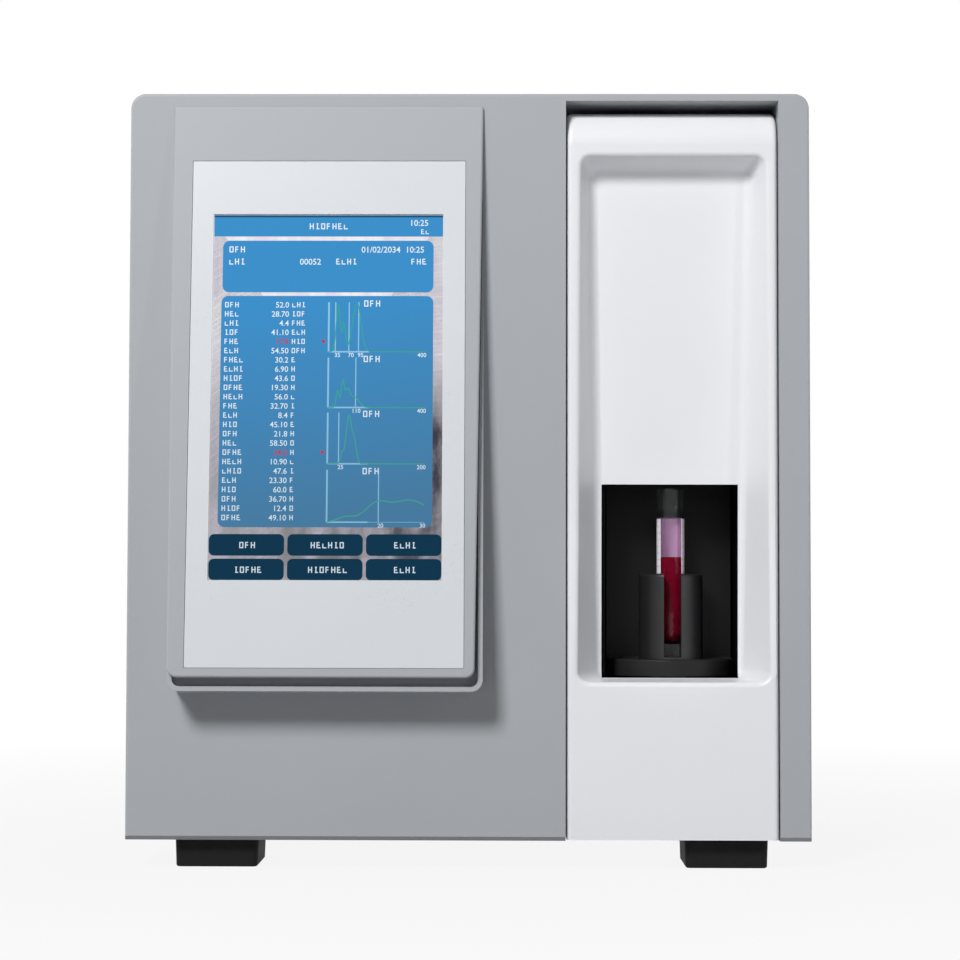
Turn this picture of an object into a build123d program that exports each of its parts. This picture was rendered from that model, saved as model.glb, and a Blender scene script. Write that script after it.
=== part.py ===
from build123d import *

import os
from math import cos, radians, sin, tan

# Case
case_width = 320.0
case_height = 364.0
case_depth = 216.0
front_y = -104.0
foot_height = 13.3
wall = 2.5
corner_radius = 7.0
inner_corner_radius = 4.5
front_edge_radius = 1.2
fascia_depth = 22.0
fascia_top_lip = 3.4
bottom_bevel = 2.0
rear_thickness = 3.0
seat_gap = 0.3

# Base tray and feet
tray_floor = 2.5
tray_flange = 20.0
foot_size = 39.2
foot_corner = 3.0
foot_taper = 2.0
foot_x = 119.6
foot_shift = 1.5
foot_edge = 1.0
foot_front_y = -76.0
foot_rear_y = 92.0
foot_bolt_radius = 3.0
tray_vent_length = 24.0
tray_vent_width = 4.0
tray_vent_pitch = 8.0
tray_vent_count = 9
tray_vent_y = 30.0

# Display
display_tilt = 5.2
display_reach = 26.0
display_x = -67.2
display_z = 90.0
display_width = 140.7
display_height = 269.0
display_thickness = 10.0
display_corner = 4.5
display_top_corner = 1.5
flare_left = 1.7
flare_right = 3.6
rim_round = 1.0
plinth_left = 0.5
plinth_right = 3.75
plinth_drop = 6.0
plinth_corner = 5.5
plinth_lip_width = 2.2
plinth_lip_height = 4.5
panel_width = 128.3
panel_height = 238.2
panel_thickness = 2.0
panel_shift = 1.5
panel_rise = 4.2
panel_pocket = 2.3
screen_width = 107.6
screen_height = 172.2
screen_shift = 1.4
screen_rise = 44.6
glass_thickness = 1.4
lcd_margin = 4.0
lcd_thickness = 2.6
panel_gap = 0.2

# Sampling bay panel
bay_x = 95.5
channel_width = 100.0
channel_gap = 0.5
bay_setback = 1.0
bay_top_gap = 6.6
bay_side_round = 2.4
mouth_round = 2.4
recess_round = 5.0
bay_roll_radius = 17.0
recess_bottom = 87.0
recess_top_margin = 22.4
recess_width_bottom = 90.8
recess_width_top = 87.4
recess_shift = 0.6
floor_sill = 1.4
ceiling_drop = 6.0
floor_width_bottom = 67.0
floor_width_top = 76.5
floor_depth_bottom = 22.0
floor_depth_top = 14.0
window_width = 65.0
window_height = 92.0

# Sampling chamber, turntable and tube
rotor_x = 97.2
rotor_y = -49.0
rotor_radius = 31.4
rotor_bottom = 89.0
rotor_thickness = 8.0
rotor_clearance = 1.0
screen_offset = 1.6
screen_thickness = 3.0
rotor_edge = 1.0
screen_top = 181.5
chamber_floor = 84.0
chamber_floor_thickness = 3.6
chamber_ceiling = 183.5
chamber_wall = 3.0
chamber_back = -12.0
needle_hole_radius = 5.0
adapter_radius = 15.4
adapter_height = 41.0
adapter_slot = 8.3
adapter_bore_gap = 0.35
adapter_floor = 7.0
adapter_slot_floor = 1.0
adapter_edge = 1.6
tube_offset = 14.5
tube_radius = 6.5
tube_length = 75.0
tube_wall = 1.1
blood_level = 41.2
blood_gap = 0.05
label_thickness = 0.2
label_height = 48.0
label_rise = 12.5
label_gap_angle = 100.0
shaft_radius = 4.0
shaft_bottom = 28.0
bearing_radius = 9.0
bearing_height = 5.0
running_gap = 0.05
rotor_pulley_radius = 16.0
motor_pulley_radius = 8.0
pulley_height = 9.0
pulley_bottom = 32.0
pulley_flange = 1.2
belt_thickness = 1.4
belt_width = 6.0
motor_size = 42.0
motor_corner = 4.0
rotor_motor_height = 26.0
rotor_motor_y = 22.0
motor_shaft_radius = 2.5

# Inner frames
bulkhead_x = 50.0
bulkhead_thickness = 1.5
bulkhead_front = -76.0
bulkhead_back = 104.0
bulkhead_clearance = 16.0
bulkhead_flange = 20.0
cable_window_length = 40.0
cable_window_height = 30.0
cable_window_radius = 5.0
stand_width = 84.0
stand_top = 84.0
stand_front = -76.0
stand_back = 56.0
stand_sheet = 2.0

# Needle unit
rail_drop = 52.0
rail_height = 14.0
rail_thickness = 6.0
rail_front = -68.0
rail_back = 84.0
rail_standoff = 8.0
cross_screw_drop = 12.0
bracket_drop = 6.0
bracket_foot = 10.0
bracket_width = 8.0
guide_gap = 0.1
grip = 6.0
carriage_travel = 90.0
carriage_width = 36.0
carriage_clearance = 1.5
shelf_thickness = 4.0
lift_motor_height = 18.0
small_motor = 26.0
small_motor_corner = 3.0
carriage_sheet = 3.0
carriage_gap = 0.5
lift_screw_side = 7.5
lift_screw_back = 8.5
shelf_margin = 5.0
head_front = 10.0
head_width = 30.0
head_length = 28.0
head_sheet = 3.0
needle_inside_y = -34.5
needle_tip_gap = 1.5
needle_radius = 0.9
lift_margin = 2.0
lift_height = 22.0
lift_travel = 70.0
lift_rail_width = 9.0
lift_rail_depth = 6.0
block_margin = 6.0
block_length = 26.0
needle_point = 4.0
needle_hub_radius = 3.0
needle_hub_height = 7.0
cup_radius = 14.0
cup_bore = 9.0
cup_bottom = 92.0
cup_height = 60.0
cup_floor = 10.0
cup_port_radius = 3.0
cup_pitch = 34.0
cup_sheet = 2.0
cup_plate_margin = 3.0
cup_plate_side = 26.0

# Rear panel and its fittings
screw_radius_small = 1.5
screw_inset = 9.0
screw_rows = 4
screw_margin = 25.0
vent_count = 9
rear_vent_count = 8
vent_pitch = 8.0
vent_length = 60.0
vent_height = 3.0
side_vent_y = 62.0
side_vent_drop = 64.0
rear_vent_x = 20.0
rear_vent_drop = 74.0
fan_size = 60.0
fan_depth = 20.0
fan_x = -90.0
fan_drop = 79.0
fan_bore = 28.0
fan_hub = 12.0
fan_blades = 7
fan_corner = 4.0
fan_spoke = 3.0
fan_hub_gap = 0.5
fan_tip_gap = 1.5
blade_root = 1.0
blade_thickness = 1.6
blade_rise_back = 6.0
blade_rise_front = 5.5
guard_rings = 4
guard_pitch = 6.0
guard_inner = 8.0
guard_margin = 4.0
guard_wire = 1.6
inlet_x = -110.0
inlet_z = 62.0
inlet_width = 27.0
inlet_height = 20.0
inlet_depth = 20.0
inlet_flange = 2.0
inlet_corner = 3.0
inlet_margin = 2.5
inlet_rim = 2.0
pin_setback = 6.0
pin_width = 2.0
pin_height = 4.0
pin_pitch = 14.0
pin_offset = 2.0
switch_x = -72.0
switch_width = 13.0
switch_height = 19.0
switch_depth = 14.0
switch_margin = 2.0
switch_corner = 1.5
switch_rim = 1.0
rocker_gap = 0.5
rocker_half = 7.4
rocker_inset = 3.0
rocker_rise = 4.5
rocker_dip = 1.4
rocker_keel = 3.0
rocker_toe = 1.0
rocker_swing = 22.0
socket_x = 0.0
socket_z = 62.0
socket_width = 46.0
socket_height = 14.6
socket_depth = 12.0
network_x = -13.0
network_width = 16.0
network_height = 14.0
flat_x = 9.0
flat_width = 14.0
flat_height = 6.0
flat_pitch = 8.0
socket_shell = 0.8
socket_recess = 0.5
port_x = 92.0
port_z = 200.0
port_pitch = 34.0
port_radius = 3.0
port_reach = 18.0
port_collar_radius = 9.0
port_collar_height = 5.0
port_stub = 8.0
port_count = 3

# Service door, on the left side
door_height = 250.0
door_length = 150.0
door_bottom = 62.0
door_rear_y = 88.0
door_gap = 1.5
door_rim = 9.0
door_skin = 2.5
door_pin_cover = 1.0
door_inner_margin = 1.5
door_pin_radius = 2.0
door_pin_inset = 5.0
door_pin_length = 10.0
hinge_block_height = 12.0
hinge_block_width = 14.0
latch_radius = 11.0
latch_inset = 18.0
latch_boss = 6.0
latch_boss_margin = 3.0
latch_slot = 2.0
latch_knob = 1.8
latch_shaft = 4.0
cam_length = 24.0
cam_width = 8.0
cam_corner = 2.0
cam_thickness = 2.0
cam_gap = 0.3

# Fluidics plate and the units on it, in the left bay
plate_x = -60.0
plate_thickness = 1.5
plate_front = -70.0
plate_back = 84.0
plate_clearance = 29.0
plate_flange = 20.0
syringe_x = -84.0
syringe_y = -20.0
syringe_pitch = 26.0
syringe_bottom = 60.0
syringe_top = 240.0
syringe_bracket = 6.0
syringe_width = 64.0
syringe_shelf = 38.0
frame_sheet = 4.0
crosshead_width = 26.0
crosshead_margin = 9.0
crosshead_corner = 3.0
piston_gap = 2.0
barrel_radius = 7.0
barrel_bore = 5.5
barrel_length = 62.0
piston_height = 8.0
plunger_radius = 2.5
crosshead_height = 8.0
crosshead_z = 124.0
syringe_travel = 40.0
screw_radius = 4.0
syringe_motor_height = 34.0
pump_y = 52.0
pump_z = 120.0
pump_size = 52.0
pump_depth = 24.0
pump_corner = 6.0
pump_back = 6.0
pump_hub = 3.0
pump_roller_gap = 1.0
pump_rollers = 3
pump_cavity = 21.0
pump_roller_circle = 14.0
pump_roller_radius = 5.0
pump_shaft_radius = 2.5
valve_count = 6
valve_pitch = 20.0
valve_z = 265.0
valve_size = 16.0
valve_length = 28.0
manifold_depth = 12.0
manifold_height = 14.0
manifold_margin = 3.0
valve_corner = 2.0
valve_shift = 8.0

# Board, supply and optics between the plate and the bulkhead
board_y = 15.0
board_rise = 116.0
board_length = 150.0
board_height = 120.0
board_thickness = 1.6
board_standoff = 6.0
standoff_size = 6.0
standoff_inset = 6.0
chip_size = 30.0
chip_height = 3.0
chip_y = -20.0
chip_z = 10.0
module_length = 20.0
module_width = 14.0
module_y = 30.0
module_z = 25.0
plug_length = 22.0
plug_width = 8.0
plug_height = 9.0
plug_pitch = 34.0
plug_count = 4
plug_inset = 8.0
supply_x = -14.0
supply_y = 48.0
supply_width = 84.0
supply_length = 84.0
supply_height = 66.0
supply_slots = 7
supply_slot_pitch = 10.0
supply_slot_width = 4.0
supply_slot_depth = 2.0
bench_z = 126.0
bench_thickness = 8.0
bench_front = -66.0
bench_back = 70.0
bench_width = 100.0
bench_corner = 0.5
holder_offset = 28.0
holder_thickness = 10.0
holder_width = 34.0
cell_offset = 26.0
cell_length = 18.0
cell_width = 24.0
bench_unit_height = 26.0
laser_start = 44.0
laser_length = 62.0
laser_radius = 9.0
beam_y = -10.0
beam_rise = 16.0

# Values worked out from the sizes above
half_width = case_width / 2
rear_y = front_y + case_depth
fascia_back = front_y + fascia_depth
cover_back = rear_y - rear_thickness
inner_x = half_width - wall
tray_top = foot_height + tray_floor
bay_width = channel_width - 2 * channel_gap
bay_front = front_y + bay_setback
bay_bottom = foot_height + channel_gap
bay_top = case_height - bay_top_gap
recess_top = bay_top - recess_top_margin
floor_bottom = recess_bottom + floor_sill
floor_top = recess_top - ceiling_drop
rotor_top = rotor_bottom + rotor_thickness
tube_y = rotor_y - tube_offset
tube_bottom = rotor_top + adapter_floor
tube_top = tube_bottom + tube_length
chamber_inner_radius = rotor_radius + rotor_clearance
chamber_top = chamber_ceiling + chamber_wall
bulkhead_top = case_height - bulkhead_clearance
plate_top = case_height - plate_clearance
rail_bottom = case_height - rail_drop
carriage_bottom = chamber_top + carriage_clearance + shelf_thickness
carriage_top = case_height - wall - carriage_clearance - lift_motor_height
lift_bottom = carriage_bottom + lift_travel + lift_margin
needle_tip = chamber_top + needle_tip_gap
fan_z = case_height - fan_drop
board_z = bench_z + bench_thickness + board_rise
door_x = -half_width
door_axis_y = door_rear_y - door_pin_inset
door_axis_x = door_x + door_rim / 2
door_top = door_bottom + door_height
latch_y = door_rear_y - door_length + latch_inset
latch_z = door_bottom + door_height / 2
cam_x = door_x + door_rim + cam_gap


def facing(y):
    """Upright plane at depth y, drawn as seen from the front and facing forwards."""
    return Plane.XZ.offset(-y)


def level(z):
    """Level plane at height z, facing up."""
    return Plane.XY.offset(z)


def side_on(x):
    """Upright plane across the case at x, facing right, drawn with Y across and Z up."""
    return Plane.YZ.offset(x)


def save(part, name):
    """Labels a finished piece and writes it."""
    part.label = name
    export_step(part, f"parts/{name}.step")


def case_outline(inset, bottom, radius):
    """Front outline of the case, with round top corners and square bottom ones."""
    with BuildSketch(mode=Mode.PRIVATE) as outline:
        with Locations((0, bottom)):
            Rectangle(
                case_width - 2 * inset,
                case_height - inset - bottom,
                align=(Align.CENTER, Align.MIN),
            )
        fillet(outline.vertices().group_by(Axis.Y)[-1], radius)
    return outline.sketch_local


os.makedirs("parts", exist_ok=True)

# Base tray: a folded floor with a flange on each side
with BuildPart() as base_tray:
    tray_width = 2 * (inner_x - seat_gap)
    tray_depth = cover_back - fascia_back
    tray_mid_y = (cover_back + fascia_back) / 2
    with BuildSketch(level(foot_height)):
        with Locations((0, tray_mid_y)):
            Rectangle(tray_width, tray_depth)
    extrude(amount=tray_flange)
    with BuildSketch(level(tray_top)):
        with Locations((0, tray_mid_y)):
            Rectangle(tray_width - 2 * tray_floor, tray_depth)
    extrude(amount=tray_flange, mode=Mode.SUBTRACT)
    with BuildSketch(level(foot_height)):
        with Locations((foot_shift, (foot_rear_y + foot_front_y) / 2)):
            with GridLocations(2 * foot_x, foot_rear_y - foot_front_y, 2, 2):
                Circle(foot_bolt_radius)
    extrude(amount=tray_floor, mode=Mode.SUBTRACT)
    with BuildSketch(level(foot_height)):
        with Locations((bay_x, tray_vent_y)):
            with GridLocations(tray_vent_pitch, 0, tray_vent_count, 1):
                SlotOverall(tray_vent_length, tray_vent_width, rotation=90)
    extrude(amount=tray_floor, mode=Mode.SUBTRACT)
save(base_tray.part, "base_tray")


# Feet: tapered blocks with a bolt that goes up through the tray
def foot_block(x, y):
    """One rubber foot with its bolt well underneath."""
    with BuildPart() as foot:
        with BuildSketch(level(foot_height)):
            with Locations((x, y)):
                RectangleRounded(foot_size, foot_size, foot_corner)
        extrude(amount=-foot_height, taper=foot_taper)
        fillet(foot.faces().sort_by(Axis.Z)[0].edges(), foot_edge)
        with BuildSketch(level(0)):
            with Locations((x, y)):
                Circle(2 * foot_bolt_radius)
        extrude(amount=foot_height / 2, mode=Mode.SUBTRACT)
    return foot.part


with BuildPart() as feet:
    for x in (foot_shift - foot_x, foot_shift + foot_x):
        for y in (foot_front_y, foot_rear_y):
            add(foot_block(x, y))
save(feet.part, "feet")

# Front fascia: a hollow grey moulding with the channel for the sampling bay
with BuildPart() as front_fascia:
    with BuildSketch(facing(fascia_back)):
        add(case_outline(0, foot_height, corner_radius))
    extrude(amount=fascia_depth)
    front_edges = front_fascia.faces().sort_by(Axis.Y)[0].edges()
    fillet(front_edges.sort_by(Axis.Z)[1:], front_edge_radius)
    with BuildSketch(facing(fascia_back)):
        add(case_outline(wall, foot_height + wall, inner_corner_radius))
        with Locations((bay_x, 0)):
            Rectangle(
                channel_width + 2 * wall,
                2 * case_height,
                mode=Mode.SUBTRACT,
            )
        with Locations((0, case_height - fascia_top_lip)):
            Rectangle(case_width, 2 * fascia_top_lip, align=(Align.CENTER, Align.MIN), mode=Mode.SUBTRACT)
    extrude(amount=fascia_depth - wall, mode=Mode.SUBTRACT)
    with BuildSketch(facing(fascia_back)):
        with Locations((bay_x, case_height - fascia_top_lip)):
            Rectangle(channel_width, 2 * case_height, align=(Align.CENTER, Align.MAX))
    extrude(amount=fascia_depth, mode=Mode.SUBTRACT)
    with BuildSketch(side_on(-half_width)):
        with BuildLine():
            Polyline(
                (front_y, foot_height),
                (front_y + bottom_bevel, foot_height),
                (front_y, foot_height + bottom_bevel),
                close=True,
            )
        make_face()
    extrude(amount=case_width, mode=Mode.SUBTRACT)
save(front_fascia.part, "front_fascia")

# Display: a leaning slab on a wider plinth that grows out of the fascia
tilt = radians(display_tilt)
display_plane = Plane(
    origin=(display_x, front_y - display_reach, display_z),
    x_dir=(1, 0, 0),
    z_dir=(0, -cos(tilt), sin(tilt)),
)

with BuildPart() as behind_fascia:
    with BuildSketch(facing(front_y)):
        with Locations((0, case_height / 2)):
            Rectangle(2 * case_width, 2 * case_height)
    extrude(amount=-2 * case_depth)


def plinth_outline(inset):
    """Front outline of the plinth, square at the top, inset on its left, foot and right."""
    left = -display_width / 2 - plinth_left + inset
    right = display_width / 2 + plinth_right - inset
    with BuildSketch(mode=Mode.PRIVATE) as outline:
        with Locations(((left + right) / 2, inset - plinth_drop)):
            Rectangle(
                right - left, display_height - inset, align=(Align.CENTER, Align.MIN)
            )
        fillet(outline.vertices().group_by(Axis.Y)[0], plinth_corner - inset)
    return outline.sketch_local


def slab_outline(grow):
    """Front outline of the slab, wider at its top than at its foot, grown by grow."""
    foot_half = display_width / 2 + grow
    with BuildSketch(mode=Mode.PRIVATE) as outline:
        with BuildLine():
            Polyline(
                (-foot_half, -grow),
                (foot_half, -grow),
                (foot_half + flare_right, display_height),
                (-foot_half - flare_left, display_height),
                close=True,
            )
        make_face()
        fillet(outline.vertices().group_by(Axis.Y)[0], display_corner)
        fillet(outline.vertices().group_by(Axis.Y)[-1], display_top_corner)
    return outline.sketch_local


with BuildPart() as display_plinth:
    with BuildSketch(display_plane.offset(-display_thickness)):
        add(plinth_outline(0))
    extrude(amount=-2 * display_reach)
    with BuildSketch(display_plane.offset(-display_thickness)):
        add(plinth_outline(0))
        add(plinth_outline(plinth_lip_width), mode=Mode.SUBTRACT)
        add(slab_outline(seat_gap), mode=Mode.SUBTRACT)
    extrude(amount=plinth_lip_height)
    add(behind_fascia.part, mode=Mode.SUBTRACT)
save(display_plinth.part, "display_plinth")

with BuildPart() as display_housing:
    with BuildSketch(display_plane):
        add(slab_outline(0))
    extrude(amount=-display_thickness)
    fillet(display_housing.faces().sort_by(Axis.Y)[0].edges(), rim_round)
    add(behind_fascia.part, mode=Mode.SUBTRACT)
    with BuildSketch(display_plane):
        with Locations((panel_shift, panel_rise)):
            Rectangle(panel_width, panel_height, align=(Align.CENTER, Align.MIN))
    extrude(amount=-panel_pocket, mode=Mode.SUBTRACT)
    with BuildSketch(display_plane.offset(-panel_pocket)):
        with Locations((screen_shift, screen_rise + screen_height / 2)):
            Rectangle(screen_width + 2 * lcd_margin, screen_height + 2 * lcd_margin)
    extrude(amount=-lcd_thickness, mode=Mode.SUBTRACT)
save(display_housing.part, "display_housing")

with BuildPart() as display_panel:
    with BuildSketch(display_plane.offset(-panel_pocket)):
        with Locations((panel_shift, panel_rise + panel_gap)):
            Rectangle(
                panel_width - 2 * panel_gap,
                panel_height - 2 * panel_gap,
                align=(Align.CENTER, Align.MIN),
            )
        with Locations((screen_shift, screen_rise + screen_height / 2)):
            Rectangle(screen_width, screen_height, mode=Mode.SUBTRACT)
    extrude(amount=panel_thickness)
save(display_panel.part, "display_panel")

with BuildPart() as touch_glass:
    with BuildSketch(display_plane.offset(-panel_pocket)):
        with Locations((screen_shift, screen_rise + screen_height / 2)):
            Rectangle(screen_width - 0.3, screen_height - 0.3)
    extrude(amount=glass_thickness)
save(touch_glass.part, "touch_glass")

with BuildPart() as lcd_module:
    with BuildSketch(display_plane.offset(-panel_pocket)):
        with Locations((screen_shift, screen_rise + screen_height / 2)):
            Rectangle(
                screen_width + 2 * lcd_margin - seat_gap,
                screen_height + 2 * lcd_margin - seat_gap,
            )
    extrude(amount=-lcd_thickness)
save(lcd_module.part, "lcd_module")

# Sampling bay: a white moulding with a rolled top, a tapered recess and a window
floor_rise = floor_top - floor_bottom
floor_lean = floor_depth_bottom - floor_depth_top
floor_plane = Plane(
    origin=(bay_x, bay_front + floor_depth_bottom, floor_bottom),
    x_dir=(1, 0, 0),
    z_dir=(0, -floor_rise, -floor_lean),
)
floor_length = (floor_rise**2 + floor_lean**2) ** 0.5
mouth_x = bay_x + recess_shift


def floor_y(z):
    """Depth of the recess floor's face at height z."""
    return bay_front + floor_depth_bottom - floor_lean * (z - floor_bottom) / floor_rise


def recess_form(grow):
    """The tapered hollow of the recess, grown outwards by grow for its outer skin."""
    with BuildPart() as hollow:
        with BuildSketch(facing(bay_front)):
            with BuildLine():
                Polyline(
                    (mouth_x - recess_width_bottom / 2 - grow, recess_bottom - grow),
                    (mouth_x + recess_width_bottom / 2 + grow, recess_bottom - grow),
                    (mouth_x + recess_width_top / 2 + grow, recess_top + grow),
                    (mouth_x - recess_width_top / 2 - grow, recess_top + grow),
                    close=True,
                )
            make_face()
        with BuildSketch(floor_plane.offset(-grow)):
            with BuildLine():
                Polyline(
                    (-floor_width_bottom / 2 - grow, -grow),
                    (floor_width_bottom / 2 + grow, -grow),
                    (floor_width_top / 2 + grow, floor_length + grow),
                    (-floor_width_top / 2 - grow, floor_length + grow),
                    close=True,
                )
            make_face()
        loft()
        behind_mouth = hollow.edges().sort_by(Axis.Y)[4:]
        fillet(behind_mouth, recess_round + grow)
    return hollow.part


def bay_side(inset):
    """Side outline of the bay panel: a flat front that rolls back at its top."""
    with BuildSketch(mode=Mode.PRIVATE) as outline:
        with Locations((bay_front + inset, bay_bottom)):
            Rectangle(
                fascia_back - bay_front - inset,
                bay_top - bay_bottom - inset,
                align=(Align.MIN, Align.MIN),
            )
        roll = outline.vertices().group_by(Axis.Y)[-1].sort_by(Axis.X)[0]
        fillet(roll, bay_roll_radius - inset)
    return outline.sketch_local


with BuildPart() as bay_panel:
    with BuildSketch(side_on(bay_x - bay_width / 2)):
        add(bay_side(0))
    extrude(amount=bay_width)
    for side in (bay_panel.faces().sort_by(Axis.X)[0], bay_panel.faces().sort_by(Axis.X)[-1]):
        rim = side.edges().filter_by(lambda edge: edge.center().Y < fascia_back - seat_gap)
        fillet(rim.sort_by(Axis.Z)[1:], bay_side_round)
    with BuildSketch(side_on(bay_x - bay_width / 2 + wall)):
        add(bay_side(wall))
    extrude(amount=bay_width - 2 * wall, mode=Mode.SUBTRACT)
    add(recess_form(wall))
    add(recess_form(0), mode=Mode.SUBTRACT)
    mouth = bay_panel.faces().sort_by(Axis.Y)[0].inner_wires()[0]
    fillet(mouth.edges(), mouth_round)
    with BuildSketch(facing(chamber_back)):
        with Locations((bay_x, floor_bottom)):
            Rectangle(window_width, window_height, align=(Align.CENTER, Align.MIN))
    extrude(amount=2 * case_depth, mode=Mode.SUBTRACT)
save(bay_panel.part, "bay_panel")

# Sampling chamber: a black liner behind the window, round inside for the turntable
chamber_width = 2 * (chamber_inner_radius + chamber_wall)
with BuildPart() as chamber_liner:
    with BuildSketch(side_on(rotor_x - chamber_width / 2)):
        with BuildLine():
            Polyline(
                (floor_y(chamber_floor) + wall + seat_gap, chamber_floor),
                (chamber_back, chamber_floor),
                (chamber_back, chamber_top),
                (floor_y(chamber_top) + wall + seat_gap, chamber_top),
                close=True,
            )
        make_face()
    extrude(amount=chamber_width)
    with BuildSketch(level(chamber_floor + chamber_floor_thickness)):
        with Locations((rotor_x, rotor_y)):
            Circle(chamber_inner_radius)
            Rectangle(
                2 * chamber_inner_radius, 3 * rotor_radius, align=(Align.CENTER, Align.MAX)
            )
    extrude(
        amount=chamber_ceiling - chamber_floor - chamber_floor_thickness, mode=Mode.SUBTRACT
    )
    with BuildSketch(level(chamber_ceiling)):
        with Locations((rotor_x, needle_inside_y)):
            Circle(needle_hole_radius)
    extrude(amount=2 * chamber_wall, mode=Mode.SUBTRACT)
    with BuildSketch(level(chamber_floor)):
        with Locations((rotor_x, rotor_y)):
            Circle(bearing_radius)
    extrude(amount=chamber_floor_thickness, mode=Mode.SUBTRACT)
save(chamber_liner.part, "chamber_liner")

# Turntable: a disc with an upright screen that closes the window when it turns
with BuildPart() as sample_rotor:
    with BuildSketch(level(rotor_bottom)):
        with Locations((rotor_x, rotor_y)):
            Circle(rotor_radius)
    extrude(amount=rotor_thickness)
    fillet(sample_rotor.edges().group_by(Axis.Z)[-1], rotor_edge)
    with BuildSketch(level(rotor_top)):
        with Locations((rotor_x, rotor_y + screen_offset + screen_thickness / 2)):
            Rectangle(2 * (rotor_radius - rotor_edge), screen_thickness)
    extrude(amount=screen_top - rotor_top)
    with BuildSketch(level(rotor_bottom)):
        with Locations((rotor_x, rotor_y)):
            Circle(shaft_radius)
    extrude(amount=rotor_thickness / 2, mode=Mode.SUBTRACT)
save(sample_rotor.part, "sample_rotor")

with BuildPart() as rotor_shaft:
    with BuildSketch(level(shaft_bottom)):
        with Locations((rotor_x, rotor_y)):
            Circle(shaft_radius)
    extrude(amount=rotor_bottom + rotor_thickness / 2 - shaft_bottom)
save(rotor_shaft.part, "rotor_shaft")

with BuildPart() as rotor_bearing:
    with BuildSketch(level(chamber_floor + chamber_floor_thickness - bearing_height)):
        with Locations((rotor_x, rotor_y)):
            Circle(bearing_radius)
            Circle(shaft_radius + running_gap, mode=Mode.SUBTRACT)
    extrude(amount=bearing_height)
save(rotor_bearing.part, "rotor_bearing")


# Drive to the turntable: two flanged pulleys, a belt and a stepper motor
def flanged_pulley(x, y, radius, bore):
    """A belt pulley with a flange above and below its belt track."""
    with BuildPart() as pulley:
        with BuildSketch(level(pulley_bottom)):
            with Locations((x, y)):
                Circle(radius)
        extrude(amount=pulley_height)
        for z in (pulley_bottom, pulley_bottom + pulley_height - pulley_flange):
            with BuildSketch(level(z)):
                with Locations((x, y)):
                    Circle(radius + 2 * belt_thickness)
            extrude(amount=pulley_flange)
        with BuildSketch(level(pulley_bottom)):
            with Locations((x, y)):
                Circle(bore)
        extrude(amount=pulley_height, mode=Mode.SUBTRACT)
    return pulley.part


save(flanged_pulley(rotor_x, rotor_y, rotor_pulley_radius, shaft_radius), "rotor_pulley")
save(
    flanged_pulley(rotor_x, rotor_motor_y, motor_pulley_radius, motor_shaft_radius),
    "motor_pulley",
)


def belt_loop(grow):
    """Outline round both pulleys, grown outwards by grow."""
    with BuildSketch(mode=Mode.PRIVATE) as loop:
        with Locations((rotor_x, rotor_y)):
            Circle(rotor_pulley_radius + grow)
        with Locations((rotor_x, rotor_motor_y)):
            Circle(motor_pulley_radius + grow)
        make_hull()
    return loop.sketch_local


with BuildPart() as rotor_belt:
    with BuildSketch(level(pulley_bottom + (pulley_height - belt_width) / 2)):
        add(belt_loop(seat_gap + belt_thickness))
        add(belt_loop(seat_gap), mode=Mode.SUBTRACT)
    extrude(amount=belt_width)
save(rotor_belt.part, "rotor_belt")


def stepper(x, y, top, height, shaft_end):
    """A square stepper motor hung by its face, with its shaft down to shaft_end."""
    with BuildPart() as motor:
        with BuildSketch(level(top)):
            with Locations((x, y)):
                RectangleRounded(motor_size, motor_size, motor_corner)
        extrude(amount=-height)
        with BuildSketch(level(top - height)):
            with Locations((x, y)):
                Circle(motor_shaft_radius)
        extrude(amount=-(top - height - shaft_end))
    return motor.part


rotor_motor_top = stand_top - stand_sheet
save(
    stepper(rotor_x, rotor_motor_y, rotor_motor_top, rotor_motor_height, pulley_bottom),
    "rotor_motor",
)

# Tube adapter, tube, blood and label
with BuildPart() as tube_adapter:
    with BuildSketch(level(rotor_top)):
        with Locations((rotor_x, tube_y)):
            Circle(adapter_radius)
    extrude(amount=adapter_height)
    fillet(tube_adapter.edges().group_by(Axis.Z)[-1], adapter_edge)
    bore_radius = tube_radius + label_thickness + adapter_bore_gap
    with BuildSketch(level(tube_bottom)):
        with Locations((rotor_x, tube_y)):
            Circle(bore_radius)
    extrude(amount=adapter_height, mode=Mode.SUBTRACT)
    with BuildSketch(level(rotor_top + adapter_slot_floor)):
        with Locations((rotor_x, tube_y)):
            Rectangle(adapter_slot, 2 * adapter_radius, align=(Align.CENTER, Align.MAX))
    extrude(amount=adapter_height, mode=Mode.SUBTRACT)
save(tube_adapter.part, "tube_adapter")


def tube_form(radius, bottom, top):
    """A round-ended rod about the tube's axis."""
    with BuildPart() as form:
        with BuildSketch(side_on(rotor_x)):
            with BuildLine():
                Line((tube_y, bottom), (tube_y, top))
                Line((tube_y, top), (tube_y + radius, top))
                Line((tube_y + radius, top), (tube_y + radius, bottom + radius))
                CenterArc((tube_y, bottom + radius), radius, 270, 90)
            make_face()
        revolve(axis=Axis((rotor_x, tube_y, 0), (0, 0, 1)))
    return form.part


with BuildPart() as sample_tube:
    add(tube_form(tube_radius, tube_bottom, tube_top))
    add(
        tube_form(tube_radius - tube_wall, tube_bottom + tube_wall, tube_top + tube_wall),
        mode=Mode.SUBTRACT,
    )
save(sample_tube.part, "sample_tube")

save(
    tube_form(
        tube_radius - tube_wall - blood_gap,
        tube_bottom + tube_wall + blood_gap,
        tube_bottom + blood_level,
    ),
    "blood_sample",
)

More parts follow.
